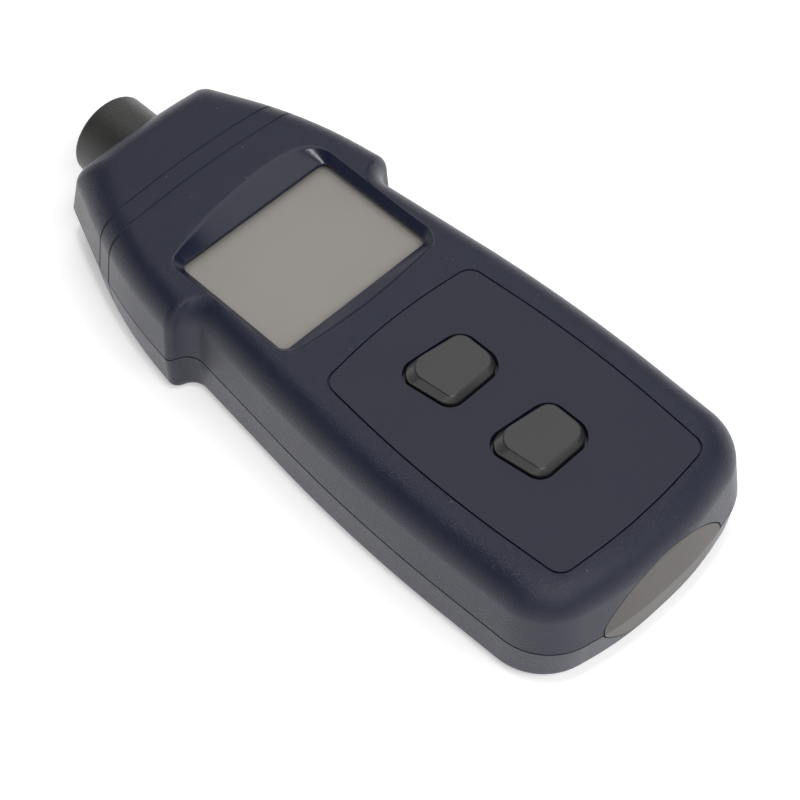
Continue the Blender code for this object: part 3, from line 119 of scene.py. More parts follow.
# Studio light: a pale room that is bright round the horizon and dim overhead,
# a soft box above, one over the base end and a small lamp overhead.
HORIZON = 1.0
OVERHEAD = 0.05
HORIZON_TOP = 0.12
OVERHEAD_FROM = 0.54
LAMPS = (
    ("top_box", (0.47, 0.40, 1.00), 0.86, 0.80, 4.1),
    ("base_box", (-0.12, -0.70, 0.95), 1.30, 0.65, 10.5),
    ("small_lamp", (-0.03, -0.05, 1.10), 0.13, 0.13, 2.6),
)

world = bpy.data.worlds.new("studio_room")
bpy.context.scene.world = world
world.use_nodes = True
tree = world.node_tree
background = tree.nodes["Background"]
background.inputs["Color"].default_value = (1, 1, 1, 1)
place = tree.nodes.new("ShaderNodeTexCoord")
axes = tree.nodes.new("ShaderNodeSeparateXYZ")
tree.links.new(place.outputs["Generated"], axes.inputs[0])
height = tree.nodes.new("ShaderNodeMapRange")
height.interpolation_type = "SMOOTHSTEP"
height.inputs["From Min"].default_value = HORIZON_TOP
height.inputs["From Max"].default_value = OVERHEAD_FROM
height.inputs["To Min"].default_value = HORIZON
height.inputs["To Max"].default_value = OVERHEAD
tree.links.new(axes.outputs["Z"], height.inputs["Value"])
path = tree.nodes.new("ShaderNodeLightPath").outputs
seen = work_out(tree, "MAXIMUM", path["Is Camera Ray"], path["Is Transmission Ray"])
level = tree.nodes.new("ShaderNodeMix")
tree.links.new(seen, level.inputs["Factor"])
tree.links.new(height.outputs["Result"], level.inputs["A"])
level.inputs["B"].default_value = 1.0
tree.links.new(level.outputs["Result"], background.inputs["Strength"])
for name, place, width, depth, power in LAMPS:
    lamp = bpy.data.lights.new(name, "AREA")
    lamp.shape = "RECTANGLE"
    lamp.size = width
    lamp.size_y = depth
    lamp.energy = power
    box = put(name, lamp)
    box.location = place
    box.rotation_euler = (-Vector(place)).to_track_quat("-Z", "Y").to_euler()

# The case's own sizes, as the solids have them: a two-part ABS housing whose
# head steps in to a barrel-shaped grip. Both halves follow one outline.
BODY_LENGTH = 0.1869
BODY_HEIGHT = 0.0305
PARTING = 0.0122
TUBE_REACH = 0.0103
WALL = 0.002
FRONT_ROUND = 0.008
FRONT_DRAFT = 0.0008
BACK_ROUND = 0.0024
BACK_DRAFT = 0.0001
HALF_SEAM = 0.00015
EDGE = 0.00018
GAP = 0.0003
BASE_Y = -(BODY_LENGTH + TUBE_REACH) / 2
NOSE_Y = BASE_Y + BODY_LENGTH
SHOULDER_Y = NOSE_Y - 0.0574
CEILING = BODY_HEIGHT - WALL
WINDOW_WIDTH = 0.0487
WINDOW_TOP = SHOULDER_Y + 0.0097
WINDOW_LOW = WINDOW_TOP - 0.0371
RECESS_FLOOR = BODY_HEIGHT - 0.0022
KEY_PLACES = {"read": BASE_Y + 0.0697, "mem": BASE_Y + 0.0411}
CASE_SCREWS = [(x, y) for y in (NOSE_Y - 0.0274, BASE_Y + 0.0098) for x in (-1, 1)]
CASE_SCREWS = [(side * (0.0225 if y > 0 else 0.024), y) for side, y in CASE_SCREWS]
BOARD_TOP = 0.02115
BOARD_SCREWS = [
    (side * 0.0235, y) for y in (WINDOW_TOP + 0.0094, BASE_Y + 0.0554) for side in (-1, 1)
]
TUBE_HEIGHT = 0.0132
TUBE_RADIUS = 0.01175
TUBE_BACK = NOSE_Y - 0.0189
RIB_Y = NOSE_Y - 0.006825
RIB_HALF_WIDTH = 0.0175
RIB_THICKNESS = 0.0015
HOOK_XS = (-0.0145, 0.0145)
LEAD_XS = (-0.0245, 0.0245)
GROOVE_FROM_NOSE = 0.0235
GROOVE_SPACING = 0.0055
GROOVE_HALF_SPAN = 0.0225
GROOVE_BOW = 0.53
GROOVE_TILT = 0.11
GROOVE_RADIUS = 0.00034


def rounded(corners):
    """A closed outline of (x, y, cut, steps) corners, each cut to an arc."""
    count = len(corners)
    places = [Vector(c[:2]) for c in corners]
    cuts = [c[2] for c in corners]
    for i in range(count):
        j = (i + 1) % count
        room = (places[j] - places[i]).length * 0.98
        taken = cuts[i] + cuts[j]
        if taken > room:
            cuts[i] *= room / taken
            cuts[j] *= room / taken
    outline = []
    for i in range(count):
        here, size, steps = places[i], cuts[i], corners[i][3]
        if size <= 0 or steps < 1:
            outline.append((here.x, here.y))
            continue
        back = (places[i - 1] - here).normalized()
        ahead = (places[(i + 1) % count] - here).normalized()
        start, end = here + back * size, here + ahead * size
        weight = math.cos((math.pi - back.angle(ahead)) / 2)
        for k in range(steps + 1):
            t = k / steps
            a, b, c = (1 - t) ** 2, 2 * weight * t * (1 - t), t * t
            point = (start * a + here * b + end * c) / (a + b + c)
            outline.append((point.x, point.y))
    return outline


def mirrored(half):
    """A whole outline from its right half."""
    return half + [(-x, y, size, steps) for x, y, size, steps in reversed(half[1:-1])]


def case_outline(inset, height, step_back=0.0):
    """The case's outline at a height, drawn in by an inset: the ends lean in
    towards the front, and the head tapers towards the back."""
    lean = max(0.0, (height - PARTING) / (BODY_HEIGHT - PARTING))
    tuck = max(0.0, (PARTING - height) / PARTING)
    high = NOSE_Y - 0.0029 * lean - inset
    low = BASE_Y + 0.0014 * lean + 0.0012 * tuck + inset
    half = [
        (0.0, high, 0.0, 0),
        (0.009, high, 0.006, 6),
        (0.0225 + 0.000435 * lean - 0.0024 * tuck - inset, high - 0.0009, 0.0024, 14),
        (0.0353 - 0.0008 * tuck - inset, NOSE_Y - 0.0321, 0.018, 12),
        (0.0389 - 0.0003 * tuck - inset, SHOULDER_Y + step_back, 0.0017 + 0.15 * inset, 10),
        (0.0325 - inset, SHOULDER_Y - 0.0019 + step_back, 0.0044, 14),
        (0.0388 - inset, BASE_Y + 0.065, 0.029, 18),
        (0.0369 - inset, low + 0.0056, max(0.012 - 0.75 * inset, 0.002), 20),
        (0.0125, low, 0.010, 8),
        (0.0, low, 0.0, 0),
    ]
    return list(reversed(rounded(mirrored(half))))


def quarter_arc(steps):
    """Pairs of (1 - cos, 1 - sin) along a quarter turn."""
    angles = [math.radians(90) * k / steps for k in range(steps + 1)]
    return [(1 - math.cos(angle), 1 - math.sin(angle)) for angle in angles]


def loft(name, levels):
    """A closed skin through (outline, height) levels, lowest first."""
    bm = bmesh.new()
    rings = [[bm.verts.new((x, y, z)) for x, y in outline] for outline, z in levels]
    count = len(rings[0])
    for lower, upper in zip(rings, rings[1:]):
        for i in range(count):
            j = (i + 1) % count
            bm.faces.new((lower[i], lower[j], upper[j], upper[i]))
    bm.faces.new(list(reversed(rings[0])))
    bm.faces.new(rings[-1])
    return new_object(name, bm)


def block(name, low, high):
    """A tool block between two corners."""
    bm = bmesh.new()
    bmesh.ops.create_cube(bm, size=1.0)
    low, high = Vector(low), Vector(high)
    bmesh.ops.scale(bm, vec=high - low, verts=bm.verts)
    bmesh.ops.translate(bm, vec=(low + high) / 2, verts=bm.verts)
    return new_object(name, bm)


def rod(name, radius, low, high, sides=48):
    """A tool rod between two points."""
    low, high = Vector(low), Vector(high)
    bm = bmesh.new()
    bmesh.ops.create_cone(
        bm, cap_ends=True, segments=sides, radius1=radius, radius2=radius, depth=(high - low).length
    )
    lay = Vector((0, 0, 1)).rotation_difference(high - low).to_matrix().to_4x4()
    bmesh.ops.transform(bm, matrix=Matrix.Translation((low + high) / 2) @ lay, verts=bm.verts)
    return new_object(name, bm)


def rods(name, radius, places, low, high, sides):
    """Tool rods that stand at several places."""
    return [rod(name, radius, (x, y, low), (x, y, high), sides) for x, y in places]


def settle(made):
    """Makes what an object's modifiers and place give its plain mesh."""
    bpy.context.view_layer.update()
    drawn = made.evaluated_get(bpy.context.evaluated_depsgraph_get())
    mesh = bpy.data.meshes.new_from_object(drawn)
    made.modifiers.clear()
    made.data = mesh
    mesh.transform(made.matrix_world)
    made.matrix_world = Matrix.Identity(4)
    return made


def combine(target, tools, operation):
    """One exact Boolean with several tools that keep clear of each other."""
    bm = bmesh.new()
    for tool in tools:
        part = tool.data.copy()
        part.transform(tool.matrix_world)
        bm.from_mesh(part)
        bpy.data.objects.remove(tool)
    joined = new_object("tools", bm)
    step = target.modifiers.new("combine", "BOOLEAN")
    step.operation = operation
    step.solver = "EXACT"
    step.object = joined
    settle(target)
    bpy.data.objects.remove(joined)
    return target


def finish_surface(made, materials, chooser=None, degrees=32):
    """Sets a piece's materials and clean shading: smooth rounds, flat flats.
    Faces that the chooser picks take the second material."""
    made.data.materials.clear()
    for finish in materials:
        made.data.materials.append(finish)
    for polygon in made.data.polygons:
        polygon.material_index = 1 if chooser and chooser(polygon) else 0
    made.data.shade_smooth()
    made.data.set_sharp_from_angle(angle=math.radians(degrees))
    even = made.modifiers.new("even_shading", "WEIGHTED_NORMAL")
    even.keep_sharp = True
    return settle(made)


def joined(name, made):
    """Several meshes as one object."""
    bm = bmesh.new()
    for item in made:
        bm.from_mesh(item.data)
        bpy.data.objects.remove(item)
    return new_object(name, bm)


def carry_over(finish, *names):
    """Gives solids that stay as they are their finish."""
    for name in names:
        mesh = nodes[name].data
        mesh.materials.clear()
        mesh.materials.append(finish)


def front_levels(start, wall=0.0, steps=20):
    """Levels of the front half, or of the room inside its wall."""
    levels = [(wall, start)]
    if not wall:
        levels = [(EDGE, start), (EDGE * 0.3, start + EDGE * 0.3), (0.0, start + EDGE)]
    reach = FRONT_ROUND - wall
    for out, fall in quarter_arc(steps):
        inset = wall + FRONT_DRAFT + (reach - FRONT_DRAFT) * out
        levels.append((inset, BODY_HEIGHT - wall - reach * fall))
    if not wall:
        levels.append((FRONT_ROUND + GAP, BODY_HEIGHT))
    return [(case_outline(inset, z, wall), z) for inset, z in levels]


def window_outline(margin=0.0):
    """The display window, widened by a margin."""
    x = WINDOW_WIDTH / 2 + margin
    high, low, cut = WINDOW_TOP + margin, WINDOW_LOW - margin, 0.0022 + margin * 0.5
    corners = [(0.0125, high, 0.0065, 6), (x, high, cut, 14), (x, low, cut, 14)]
    corners += [(0.0, low, WINDOW_WIDTH * 0.2, 8), (-x, low, cut, 14), (-x, high, cut, 14)]
    corners.append((-0.0120, high, 0.0085, 6))
    return list(reversed(rounded(corners)))


def recess_outline(spread=0.0):
    """The mouth of the display well: a brow that rises towards the right,
    straight sides and a low chin."""
    high_x = WINDOW_WIDTH / 2 + 0.0021 + spread
    low_x = WINDOW_WIDTH / 2 + 0.0019 + spread
    chin_y = WINDOW_LOW - 0.0025 - spread
    corners = [
        (0.0125, WINDOW_TOP + 0.0088 + spread, 0.0065, 6),
        (high_x, WINDOW_TOP + 0.0060 + spread, 0.0068, 14),
        (low_x, chin_y, 0.0050, 14),
        (0.0, chin_y - 0.00289, WINDOW_WIDTH * 0.3, 8),
        (-low_x, chin_y, 0.0050, 14),
        (-high_x, WINDOW_TOP + 0.0018 + spread, 0.0034, 14),
        (-0.0120, WINDOW_TOP + 0.0061 + spread, 0.0085, 6),
    ]
    return list(reversed(rounded(corners)))


def blend_outlines(first, second, share):
    """An outline part of the way from one to another."""
    return [
        (ax + (bx - ax) * share, ay + (by - ay) * share)
        for (ax, ay), (bx, by) in zip(first, second)
    ]


def label_outline(inset=0.0):
    """The label plate: four sides that bow outwards a little."""
    x = 0.02495 - inset
    low = BASE_Y + 0.0123 + inset
    high = BASE_Y + 0.0883 - inset
    half = [
        (0.0, high + 0.0026, 0.016, 10),
        (x, high, 0.0034, 14),
        (x + 0.0029, (low + high) / 2, 0.025, 14),
        (x, low, 0.0034, 14),
        (0.0, low - 0.0026, 0.016, 10),
    ]
    return list(reversed(rounded(mirrored(half))))


def key_outline(centre_y, inset=0.0):
    """A key's outline: its left side leans out, and its top falls to the right."""
    right, left = 0.00945 - inset, -0.00965 + inset
    low, high = centre_y - 0.009 + inset, centre_y + 0.009 - inset
    corners = [
        (left - 0.0025, high, 0.0060 - 0.6 * inset, 16),
        (right, high - 0.0025, 0.0043 - 0.8 * inset, 14),
        (right, low, 0.0057 - 0.9 * inset, 16),
        (left, low, 0.0036 - 0.8 * inset, 14),
    ]
    return list(reversed(rounded(corners)))


def half_width(y, inset=0.0, z=PARTING):
    """Half the case's width at a place along it, drawn in by an inset."""
    side = [(px, py) for px, py in case_outline(inset, z) if px > 0]
    found = 0.0
    for (x0, y0), (x1, y1) in zip(side, side[1:]):
        if min(y0, y1) <= y <= max(y0, y1) and y0 != y1:
            found = max(found, x0 + (x1 - x0) * (y - y0) / (y1 - y0))
    return found


def sweep(name, points, radius):
    """A round bead along points, as a closed mesh."""
    route = bpy.data.curves.new(name, "CURVE")
    route.dimensions = "3D"
    route.bevel_depth = radius
    route.bevel_resolution = 4
    route.use_fill_caps = True
    spline = route.splines.new("POLY")
    spline.points.add(len(points) - 1)
    for point, place in zip(spline.points, points):
        point.co = (*place, 1.0)
    drawn = put(name, route)
    bpy.context.view_layer.update()
    bm = bmesh.new()
    bm.from_mesh(drawn.to_mesh())
    bpy.data.objects.remove(drawn)
    bmesh.ops.remove_doubles(bm, verts=bm.verts, dist=0.000001)
    bmesh.ops.recalc_face_normals(bm, faces=bm.faces)
    return new_object(name, bm)


def head_groove(number):
    """The bead that presses one of the two grooves round the head."""
    crest_y = NOSE_Y - GROOVE_FROM_NOSE - number * GROOVE_SPACING
    side_y = crest_y - GROOVE_HALF_SPAN ** 2 / GROOVE_BOW
    arc = quarter_arc(24)
    levels = [(BACK_ROUND + 0.001, 0.0)]
    levels += [(BACK_DRAFT + BACK_ROUND * fall, BACK_ROUND * out) for out, fall in arc[::4]]
    levels += [(0.0, z) for z in (0.0045, 0.0072, 0.0098, PARTING + 0.0003)]
    for out, fall in arc:
        inset = FRONT_DRAFT + (FRONT_ROUND - FRONT_DRAFT) * out
        levels.append((inset, BODY_HEIGHT - FRONT_ROUND * fall))
    right = []
    for inset, z in levels:
        y = side_y + GROOVE_TILT * (BODY_HEIGHT - z)
        right.append((half_width(y, inset, z), y, z))
    edge_x = right[-1][0]
    for k in range(1, 13):
        x = edge_x * (1 - k / 12)
        y = crest_y - min(x, GROOVE_HALF_SPAN) ** 2 / GROOVE_BOW
        right.append((x, y, BODY_HEIGHT))
    whole = right + [(-x, y, z) for x, y, z in reversed(right[:-1])]
    return sweep(f"groove_{number}", whole, GROOVE_RADIUS)


def insert_outline(margin=0.0):
    """The end insert seen from the base: a pointed oval, its points (x, z)."""
    steps = 24
    tip_x = 0.0213 + 1.3 * margin
    high = 0.0128 + 2.2 * 0.0115 + 1.56 * margin
    low = 0.0128 - 2.2 * 0.0117 - 1.56 * margin
    half = [
        (0.0, high, (math.hypot(tip_x, high - 0.0128) - 0.00385) * 0.97, steps),
        (tip_x, 0.0128, 0.0035, steps // 2),
        (0.0, low, (math.hypot(tip_x, low - 0.0128) - 0.00385) * 0.97, steps),
    ]
    return rounded(mirrored(half))


def upright(name, levels):
    """A closed skin through outlines of (x, z) that stand across Y."""
    made = loft(name, [([(x, -z) for x, z in outline], y) for outline, y in levels])
    made.data.transform(Matrix.Rotation(math.radians(-90), 4, "X"))
    return made


def grain_group():
    """The surface of a moulded part: fine spark texture, slow clouds of tone
    and a few pale specks."""
    group = bpy.data.node_groups.new("moulded_grain", "ShaderNodeTree")
    face = group.interface
    face.new_socket("Vector", in_out="INPUT", socket_type="NodeSocketVector")
    for label, value in (("Grain Scale", 2600.0), ("Cloud Scale", 60.0), ("Speck Share", 0.004)):
        face.new_socket(label, in_out="INPUT", socket_type="NodeSocketFloat").default_value = value
    for label in ("Height", "Cloud", "Speck"):
        face.new_socket(label, in_out="OUTPUT", socket_type="NodeSocketFloat")
    inner, link = group.nodes, group.links.new
    start, end = inner.new("NodeGroupInput"), inner.new("NodeGroupOutput")
    grain = inner.new("ShaderNodeTexNoise")
    grain.inputs["Detail"].default_value = 3.0
    grain.inputs["Roughness"].default_value = 0.62
    link(start.outputs["Vector"], grain.inputs["Vector"])
    link(start.outputs["Grain Scale"], grain.inputs["Scale"])
    link(grain.outputs["Fac"], end.inputs["Height"])
    cloud = inner.new("ShaderNodeTexNoise")
    cloud.inputs["Detail"].default_value = 4.0
    link(start.outputs["Vector"], cloud.inputs["Vector"])
    link(start.outputs["Cloud Scale"], cloud.inputs["Scale"])
    link(cloud.outputs["Fac"], end.inputs["Cloud"])
    cells = inner.new("ShaderNodeTexVoronoi")
    link(start.outputs["Vector"], cells.inputs["Vector"])
    link(start.outputs["Grain Scale"], cells.inputs["Scale"])
    lot = inner.new("ShaderNodeSeparateColor")
    link(cells.outputs["Color"], lot.inputs["Color"])
    drawn = work_out(group, "LESS_THAN", lot.outputs["Red"], start.outputs["Speck Share"])
    near = work_out(group, "LESS_THAN", cells.outputs["Distance"], 0.32)
    link(work_out(group, "MULTIPLY", drawn, near), end.inputs["Speck"])
    return group


GRAIN = grain_group()


def open_finish(name):
    """A new material, its node tree and its object coordinates."""
    finish = bpy.data.materials.new(name)
    finish.use_nodes = True
    place = finish.node_tree.nodes.new("ShaderNodeTexCoord")
    return finish, finish.node_tree, place.outputs["Object"]


def mix_tones(tree, share, dark, light):
    """A node that blends two colours by a share."""
    tone = tree.nodes.new("ShaderNodeMix")
    tone.data_type = "RGBA"
    tone.inputs["A"].default_value = (*dark, 1.0)
    tone.inputs["B"].default_value = (*light, 1.0)
    tree.links.new(share, tone.inputs["Factor"])
    return tone


def set_relief(tree, share, smooth, rough, height, depth):
    """Roughness that drifts between two values, and a relief of a depth."""
    shader = tree.nodes["Principled BSDF"]
    spread = tree.nodes.new("ShaderNodeMapRange")
    spread.inputs["To Min"].default_value = smooth
    spread.inputs["To Max"].default_value = rough
    tree.links.new(share, spread.inputs["Value"])
    tree.links.new(spread.outputs["Result"], shader.inputs["Roughness"])
    bump = tree.nodes.new("ShaderNodeBump")
    bump.inputs["Distance"].default_value = depth
    tree.links.new(height, bump.inputs["Height"])
    tree.links.new(bump.outputs["Normal"], shader.inputs["Normal"])


FLECK = (0.20, 0.20, 0.21)


def moulded(name, dark, light, roughness, grain, depth, specular=0.5, specks=0.0):
    """A moulded plastic: its tone and roughness drift a little, and its
    grain stands up by a depth."""
    finish, tree, place = open_finish(name)
    shader = tree.nodes["Principled BSDF"]
    surface = tree.nodes.new("ShaderNodeGroup")
    surface.node_tree = GRAIN
    surface.inputs["Grain Scale"].default_value = grain
    surface.inputs["Speck Share"].default_value = specks
    tree.links.new(place, surface.inputs["Vector"])
    cloud, height = surface.outputs["Cloud"], surface.outputs["Height"]
    tone = mix_tones(tree, cloud, dark, light)
    flecked = mix_tones(tree, surface.outputs["Speck"], dark, FLECK)
    tree.links.new(tone.outputs["Result"], flecked.inputs["A"])
    tree.links.new(flecked.outputs["Result"], shader.inputs["Base Color"])
    shader.inputs["Specular IOR Level"].default_value = specular
    set_relief(tree, cloud, roughness - 0.05, roughness + 0.05, height, depth)
    return finish


def metal(name, dark, light, roughness):
    """A plated or turned metal with fine drawn streaks."""
    finish, tree, place = open_finish(name)
    shader = tree.nodes["Principled BSDF"]
    shader.inputs["Metallic"].default_value = 1.0
    stretch = tree.nodes.new("ShaderNodeMapping")
    stretch.inputs["Scale"].default_value = (1.0, 6.0, 1.0)
    tree.links.new(place, stretch.inputs["Vector"])
    streak = tree.nodes.new("ShaderNodeTexNoise")
    streak.inputs["Scale"].default_value = 900.0
    streak.inputs["Detail"].default_value = 3.0
    tree.links.new(stretch.outputs["Vector"], streak.inputs["Vector"])
    share = streak.outputs["Fac"]
    tone = mix_tones(tree, share, dark, light)
    tree.links.new(tone.outputs["Result"], shader.inputs["Base Color"])
    set_relief(tree, share, roughness - 0.06, roughness + 0.08, share, 0.000004)
    return finish


# Front half of the case: the ABS moulding's outer skin and its 2 mm wall.
front_half = loft("front_half", front_levels(PARTING + HALF_SEAM))
inner_room = loft("inner_room", front_levels(PARTING - HALF_SEAM * 8, WALL, 6))
combine(front_half, [inner_room], "DIFFERENCE")

# Inside it, moulded in one with it: the pad round the display, the bosses
# for the case screws, the posts for the board and the rib behind the tube.
ROOF = CEILING + 0.4 * WALL
PAD_BOTTOM = CEILING - 0.0023
pad = loft("pad", [(recess_outline(0.0014), PAD_BOTTOM), (recess_outline(0.0014), ROOF)])
combine(front_half, [pad], "UNION")
core = loft("core", front_levels(PARTING - WALL / 2, WALL / 2, 6))
bosses = rods("boss", 0.0031, CASE_SCREWS, PARTING + HALF_SEAM, ROOF, 24)
rib_low = (-RIB_HALF_WIDTH, RIB_Y - RIB_THICKNESS, PARTING + HALF_SEAM)
rib = block("rib", rib_low, (RIB_HALF_WIDTH, RIB_Y, ROOF))
held = bosses[0]
combine(held, [*bosses[1:], rib], "UNION")
combine(held, [core], "INTERSECT")
posts = rods("post", 0.0024, BOARD_SCREWS, BOARD_TOP + GAP, ROOF, 24)
combine(front_half, [held, *posts], "UNION")
pilots = rods("pilot", 0.0016, CASE_SCREWS, PARTING - 0.002, 0.0201, 24)
pilots += rods("pilot", 0.0012, BOARD_SCREWS, BOARD_TOP - 0.001, 0.0249, 20)
combine(front_half, pilots, "DIFFERENCE")

# The lip of the back half reaches into the front half all round but for the
# two ends, and keeps light out of the seam.
LIP_HEIGHT = 0.001


def lip_ring(name, outer, inner, low, high):
    """A ring between two insets of the case's outline, open at the ends."""
    ring = loft(name, [(case_outline(outer, PARTING, outer), z) for z in (low, high)])
    hollow = case_outline(inner, PARTING, inner)
    combine(ring, [loft("room", [(hollow, low - 0.001), (hollow, high + 0.001)])], "DIFFERENCE")
    keep = block("keep", (-0.1, BASE_Y + 0.009, 0), (0.1, NOSE_Y - 0.0085, 0.1))
    return combine(ring, [keep], "INTERSECT")


lip_room = lip_ring("lip_room", 0.00085, 0.0023, PARTING - 0.001, PARTING + LIP_HEIGHT + GAP)
combine(front_half, [lip_room], "DIFFERENCE")

# The display well: walls that slope from the window up to a wide mouth,
# with a raised brow and a low chin, polished in the mould.
MOUTH_STEPS = 12
LEDGE_DROP = 0.0004
LEDGE_LOW = RECESS_FLOOR + LEDGE_DROP
flare = [
    (window_outline(0.0019), PAD_BOTTOM - 0.001),
    (window_outline(0.0019), RECESS_FLOOR - 0.0004),
    (window_outline(), RECESS_FLOOR - 0.0004),
    (window_outline(), LEDGE_LOW - EDGE),
]
for out, fall in quarter_arc(4)[1:]:
    flare.append((window_outline(EDGE * out), LEDGE_LOW - EDGE * fall))
for k in range(MOUTH_STEPS):
    share = k / MOUTH_STEPS
    height = LEDGE_LOW + 0.00002 + (BODY_HEIGHT - LEDGE_LOW) * share
    flare.append((blend_outlines(window_outline(EDGE), recess_outline(), share), height))
for spread, height in ((-0.0001, -0.0001), (0.0001, -0.00004), (0.00035, 0.00001), (0.00035, 0.002)):
    flare.append((recess_outline(spread), BODY_HEIGHT + height))
combine(front_half, [loft("display_well", flare)], "DIFFERENCE")

# The seat of the label plate, the key holes, the bore of the sensor tube,
# the hole of the end insert and the two fine grooves round the head.
seat = [
    (label_outline(-spread), BODY_HEIGHT + height)
    for spread, height in (
        (0.0, -0.0008), (0.0, -0.0001), (0.00004, -0.00004), (0.00012, 0.00001), (0.00012, 0.002)
    )
]
combine(front_half, [loft("label_seat", seat)], "DIFFERENCE")
openings = [
    loft("key_hole", [(key_outline(y), CEILING - 0.001), (key_outline(y), BODY_HEIGHT + 0.002)])
    for y in KEY_PLACES.values()
]


def end_openings():
    """The tools of the tube's bore and of the insert's hole."""
    bore = (0, TUBE_BACK - 0.004, TUBE_HEIGHT), (0, NOSE_Y + 0.01, TUBE_HEIGHT)
    hole = [(insert_outline(GAP), BASE_Y - 0.004), (insert_outline(GAP), BASE_Y + 0.0067)]
    return [rod("tube_bore", TUBE_RADIUS + GAP, *bore, 96), upright("insert_hole", hole)]


combine(front_half, openings + end_openings(), "DIFFERENCE")
combine(front_half, [head_groove(0), head_groove(1)], "DIFFERENCE")

# Its two finishes: the sparked skin, and the polished walls of the well.
SKIN_DARK = (0.0076, 0.0094, 0.0235)
SKIN_LIGHT = (0.0100, 0.0124, 0.0300)
sparked = moulded("sparked_navy", SKIN_DARK, SKIN_LIGHT, 0.33, 2500, 0.00016, 0.32, 0.0010)
polished = moulded("polished_navy", SKIN_DARK, SKIN_LIGHT, 0.24, 900, 0.000002, 0.32)
MOUTH = recess_outline(0.0004)


def is_well_wall(polygon):
    """True for a face of the well's sloping wall."""
    x, y, z = polygon.center
    crossings = 0
    for (x0, y0), (x1, y1) in zip(MOUTH, MOUTH[1:] + MOUTH[:1]):
        if (y0 > y) != (y1 > y) and x < x0 + (x1 - x0) * (y - y0) / (y1 - y0):
            crossings += 1
    return crossings % 2 == 1 and RECESS_FLOOR - 0.0005 < z < BODY_HEIGHT - 0.00001


finish_surface(front_half, [sparked, polished], is_well_wall)
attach(front_half, "case")
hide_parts("front_shell")

# Back half of the case: the same sparked ABS, with the battery bay, the
# seat of its door, the rails of the board and four sunk screw bosses.
BAY_LOW, BAY_HIGH = BASE_Y + 0.017, BASE_Y + 0.0735
BAY_HALF_WIDTH = 0.02915
BAY_CEILING = 0.01645
BAY_TOP = 0.01765
SINK_TOP = 0.0043


def back_levels(end, wall=0.0, steps=12):
    """Levels of the back half, or of the room inside its wall."""
    levels, reach = [], BACK_ROUND - wall
    for out, fall in quarter_arc(steps):
        levels.append((wall + BACK_DRAFT + reach * fall, wall + reach * out))
    if wall:
        levels.append((wall, end))
    else:
        levels += [(0.0, end - EDGE), (EDGE * 0.3, end - EDGE * 0.3), (EDGE, end)]
    return [(case_outline(inset, z, wall), z) for inset, z in levels]


def turned(name, profile, sides=48, closed=False, axis="Z"):
    """A closed turned piece from (radius, distance) points along its axis."""
    bm = bmesh.new()
    rings = []
    for radius, z in profile:
        if radius <= 0:
            rings.append([bm.verts.new((0, 0, z))] * sides)
            continue
        angles = [math.tau * k / sides for k in range(sides)]
        rings.append([bm.verts.new((radius * math.cos(a), radius * math.sin(a), z)) for a in angles])
    pairs = list(zip(rings, rings[1:]))
    if closed:
        pairs.append((rings[-1], rings[0]))
    for lower, upper in pairs:
        for k in range(sides):
            corners = (lower[k], lower[(k + 1) % sides], upper[(k + 1) % sides], upper[k])
            corners = list(dict.fromkeys(corners))
            if len(corners) > 2:
                bm.faces.new(corners)
    bmesh.ops.recalc_face_normals(bm, faces=bm.faces)
    if axis == "Y":
        bmesh.ops.rotate(bm, verts=bm.verts, matrix=Matrix.Rotation(math.radians(-90), 3, "X"))
    return new_object(name, bm)


def move(made, place):
    """Shifts a piece's mesh to its place."""
    made.data.transform(Matrix.Translation(place))
    return made


def door_outline(inset=0.0):
    """The battery door seen from the back."""
    x = BAY_HALF_WIDTH + 0.0011 - inset
    low, high = BAY_LOW - 0.0011 + inset, BAY_HIGH + 0.0011 - inset
    corners = [(x, high, 0.003, 12), (x, low, 0.001, 6), (-x, low, 0.001, 6), (-x, high, 0.003, 12)]
    return list(reversed(rounded(corners)))


back_half = loft("back_half", back_levels(PARTING - HALF_SEAM))
inner_room = loft("inner_room", back_levels(PARTING + 0.002, WALL, 4))
combine(back_half, [inner_room], "DIFFERENCE")
lip = lip_ring("lip", 0.00115, WALL, PARTING - 0.003, PARTING + LIP_HEIGHT)
combine(back_half, [lip], "UNION")
bay_low, bay_high = BAY_LOW - 0.0015, BAY_HIGH + 0.0015
added = [block("bay", (-0.03065, bay_low, WALL / 2), (0.03065, bay_high, BAY_TOP))]
added += rods("boss", 0.0039, CASE_SCREWS, WALL / 2, PARTING - HALF_SEAM, 32)
rib_low = (-RIB_HALF_WIDTH, RIB_Y - RIB_THICKNESS, WALL / 2)
added.append(block("rib", rib_low, (RIB_HALF_WIDTH, RIB_Y, PARTING - HALF_SEAM)))
combine(back_half, added, "UNION")
rail_low, rail_high = WINDOW_TOP - 0.1059, BAY_HIGH - 0.002
rails = [
    block("rail", (x - 0.0006, rail_low, BAY_TOP - 0.0005), (x + 0.0006, rail_high, 0.01925))
    for x in (-0.0263, 0.0263)
]
combine(back_half, rails, "UNION")
EDGE_ROUND = []
for degrees in range(0, 91, 18):
    angle = math.radians(degrees)
    EDGE_ROUND.append((EDGE * (1 - math.sin(angle)), EDGE * (1 - math.cos(angle))))
sink_profile = [(0.0, SINK_TOP), (0.0028, SINK_TOP)]
sink_profile += [(0.0028 + out, drop) for drop, out in EDGE_ROUND]
sink_profile += [(0.0028 + EDGE, -0.002), (0.0, -0.002)]
room_low, room_high = (-BAY_HALF_WIDTH, BAY_LOW, -0.002), (BAY_HALF_WIDTH, BAY_HIGH, BAY_CEILING)
removed = [block("bay_room", room_low, room_high)]
removed += [move(turned("sink", sink_profile), (x, y, 0)) for x, y in CASE_SCREWS]
combine(back_half, removed, "DIFFERENCE")
seat = [(door_outline(-GAP - EDGE), -0.002)]
seat += [(door_outline(-GAP - out), drop) for drop, out in reversed(EDGE_ROUND)]
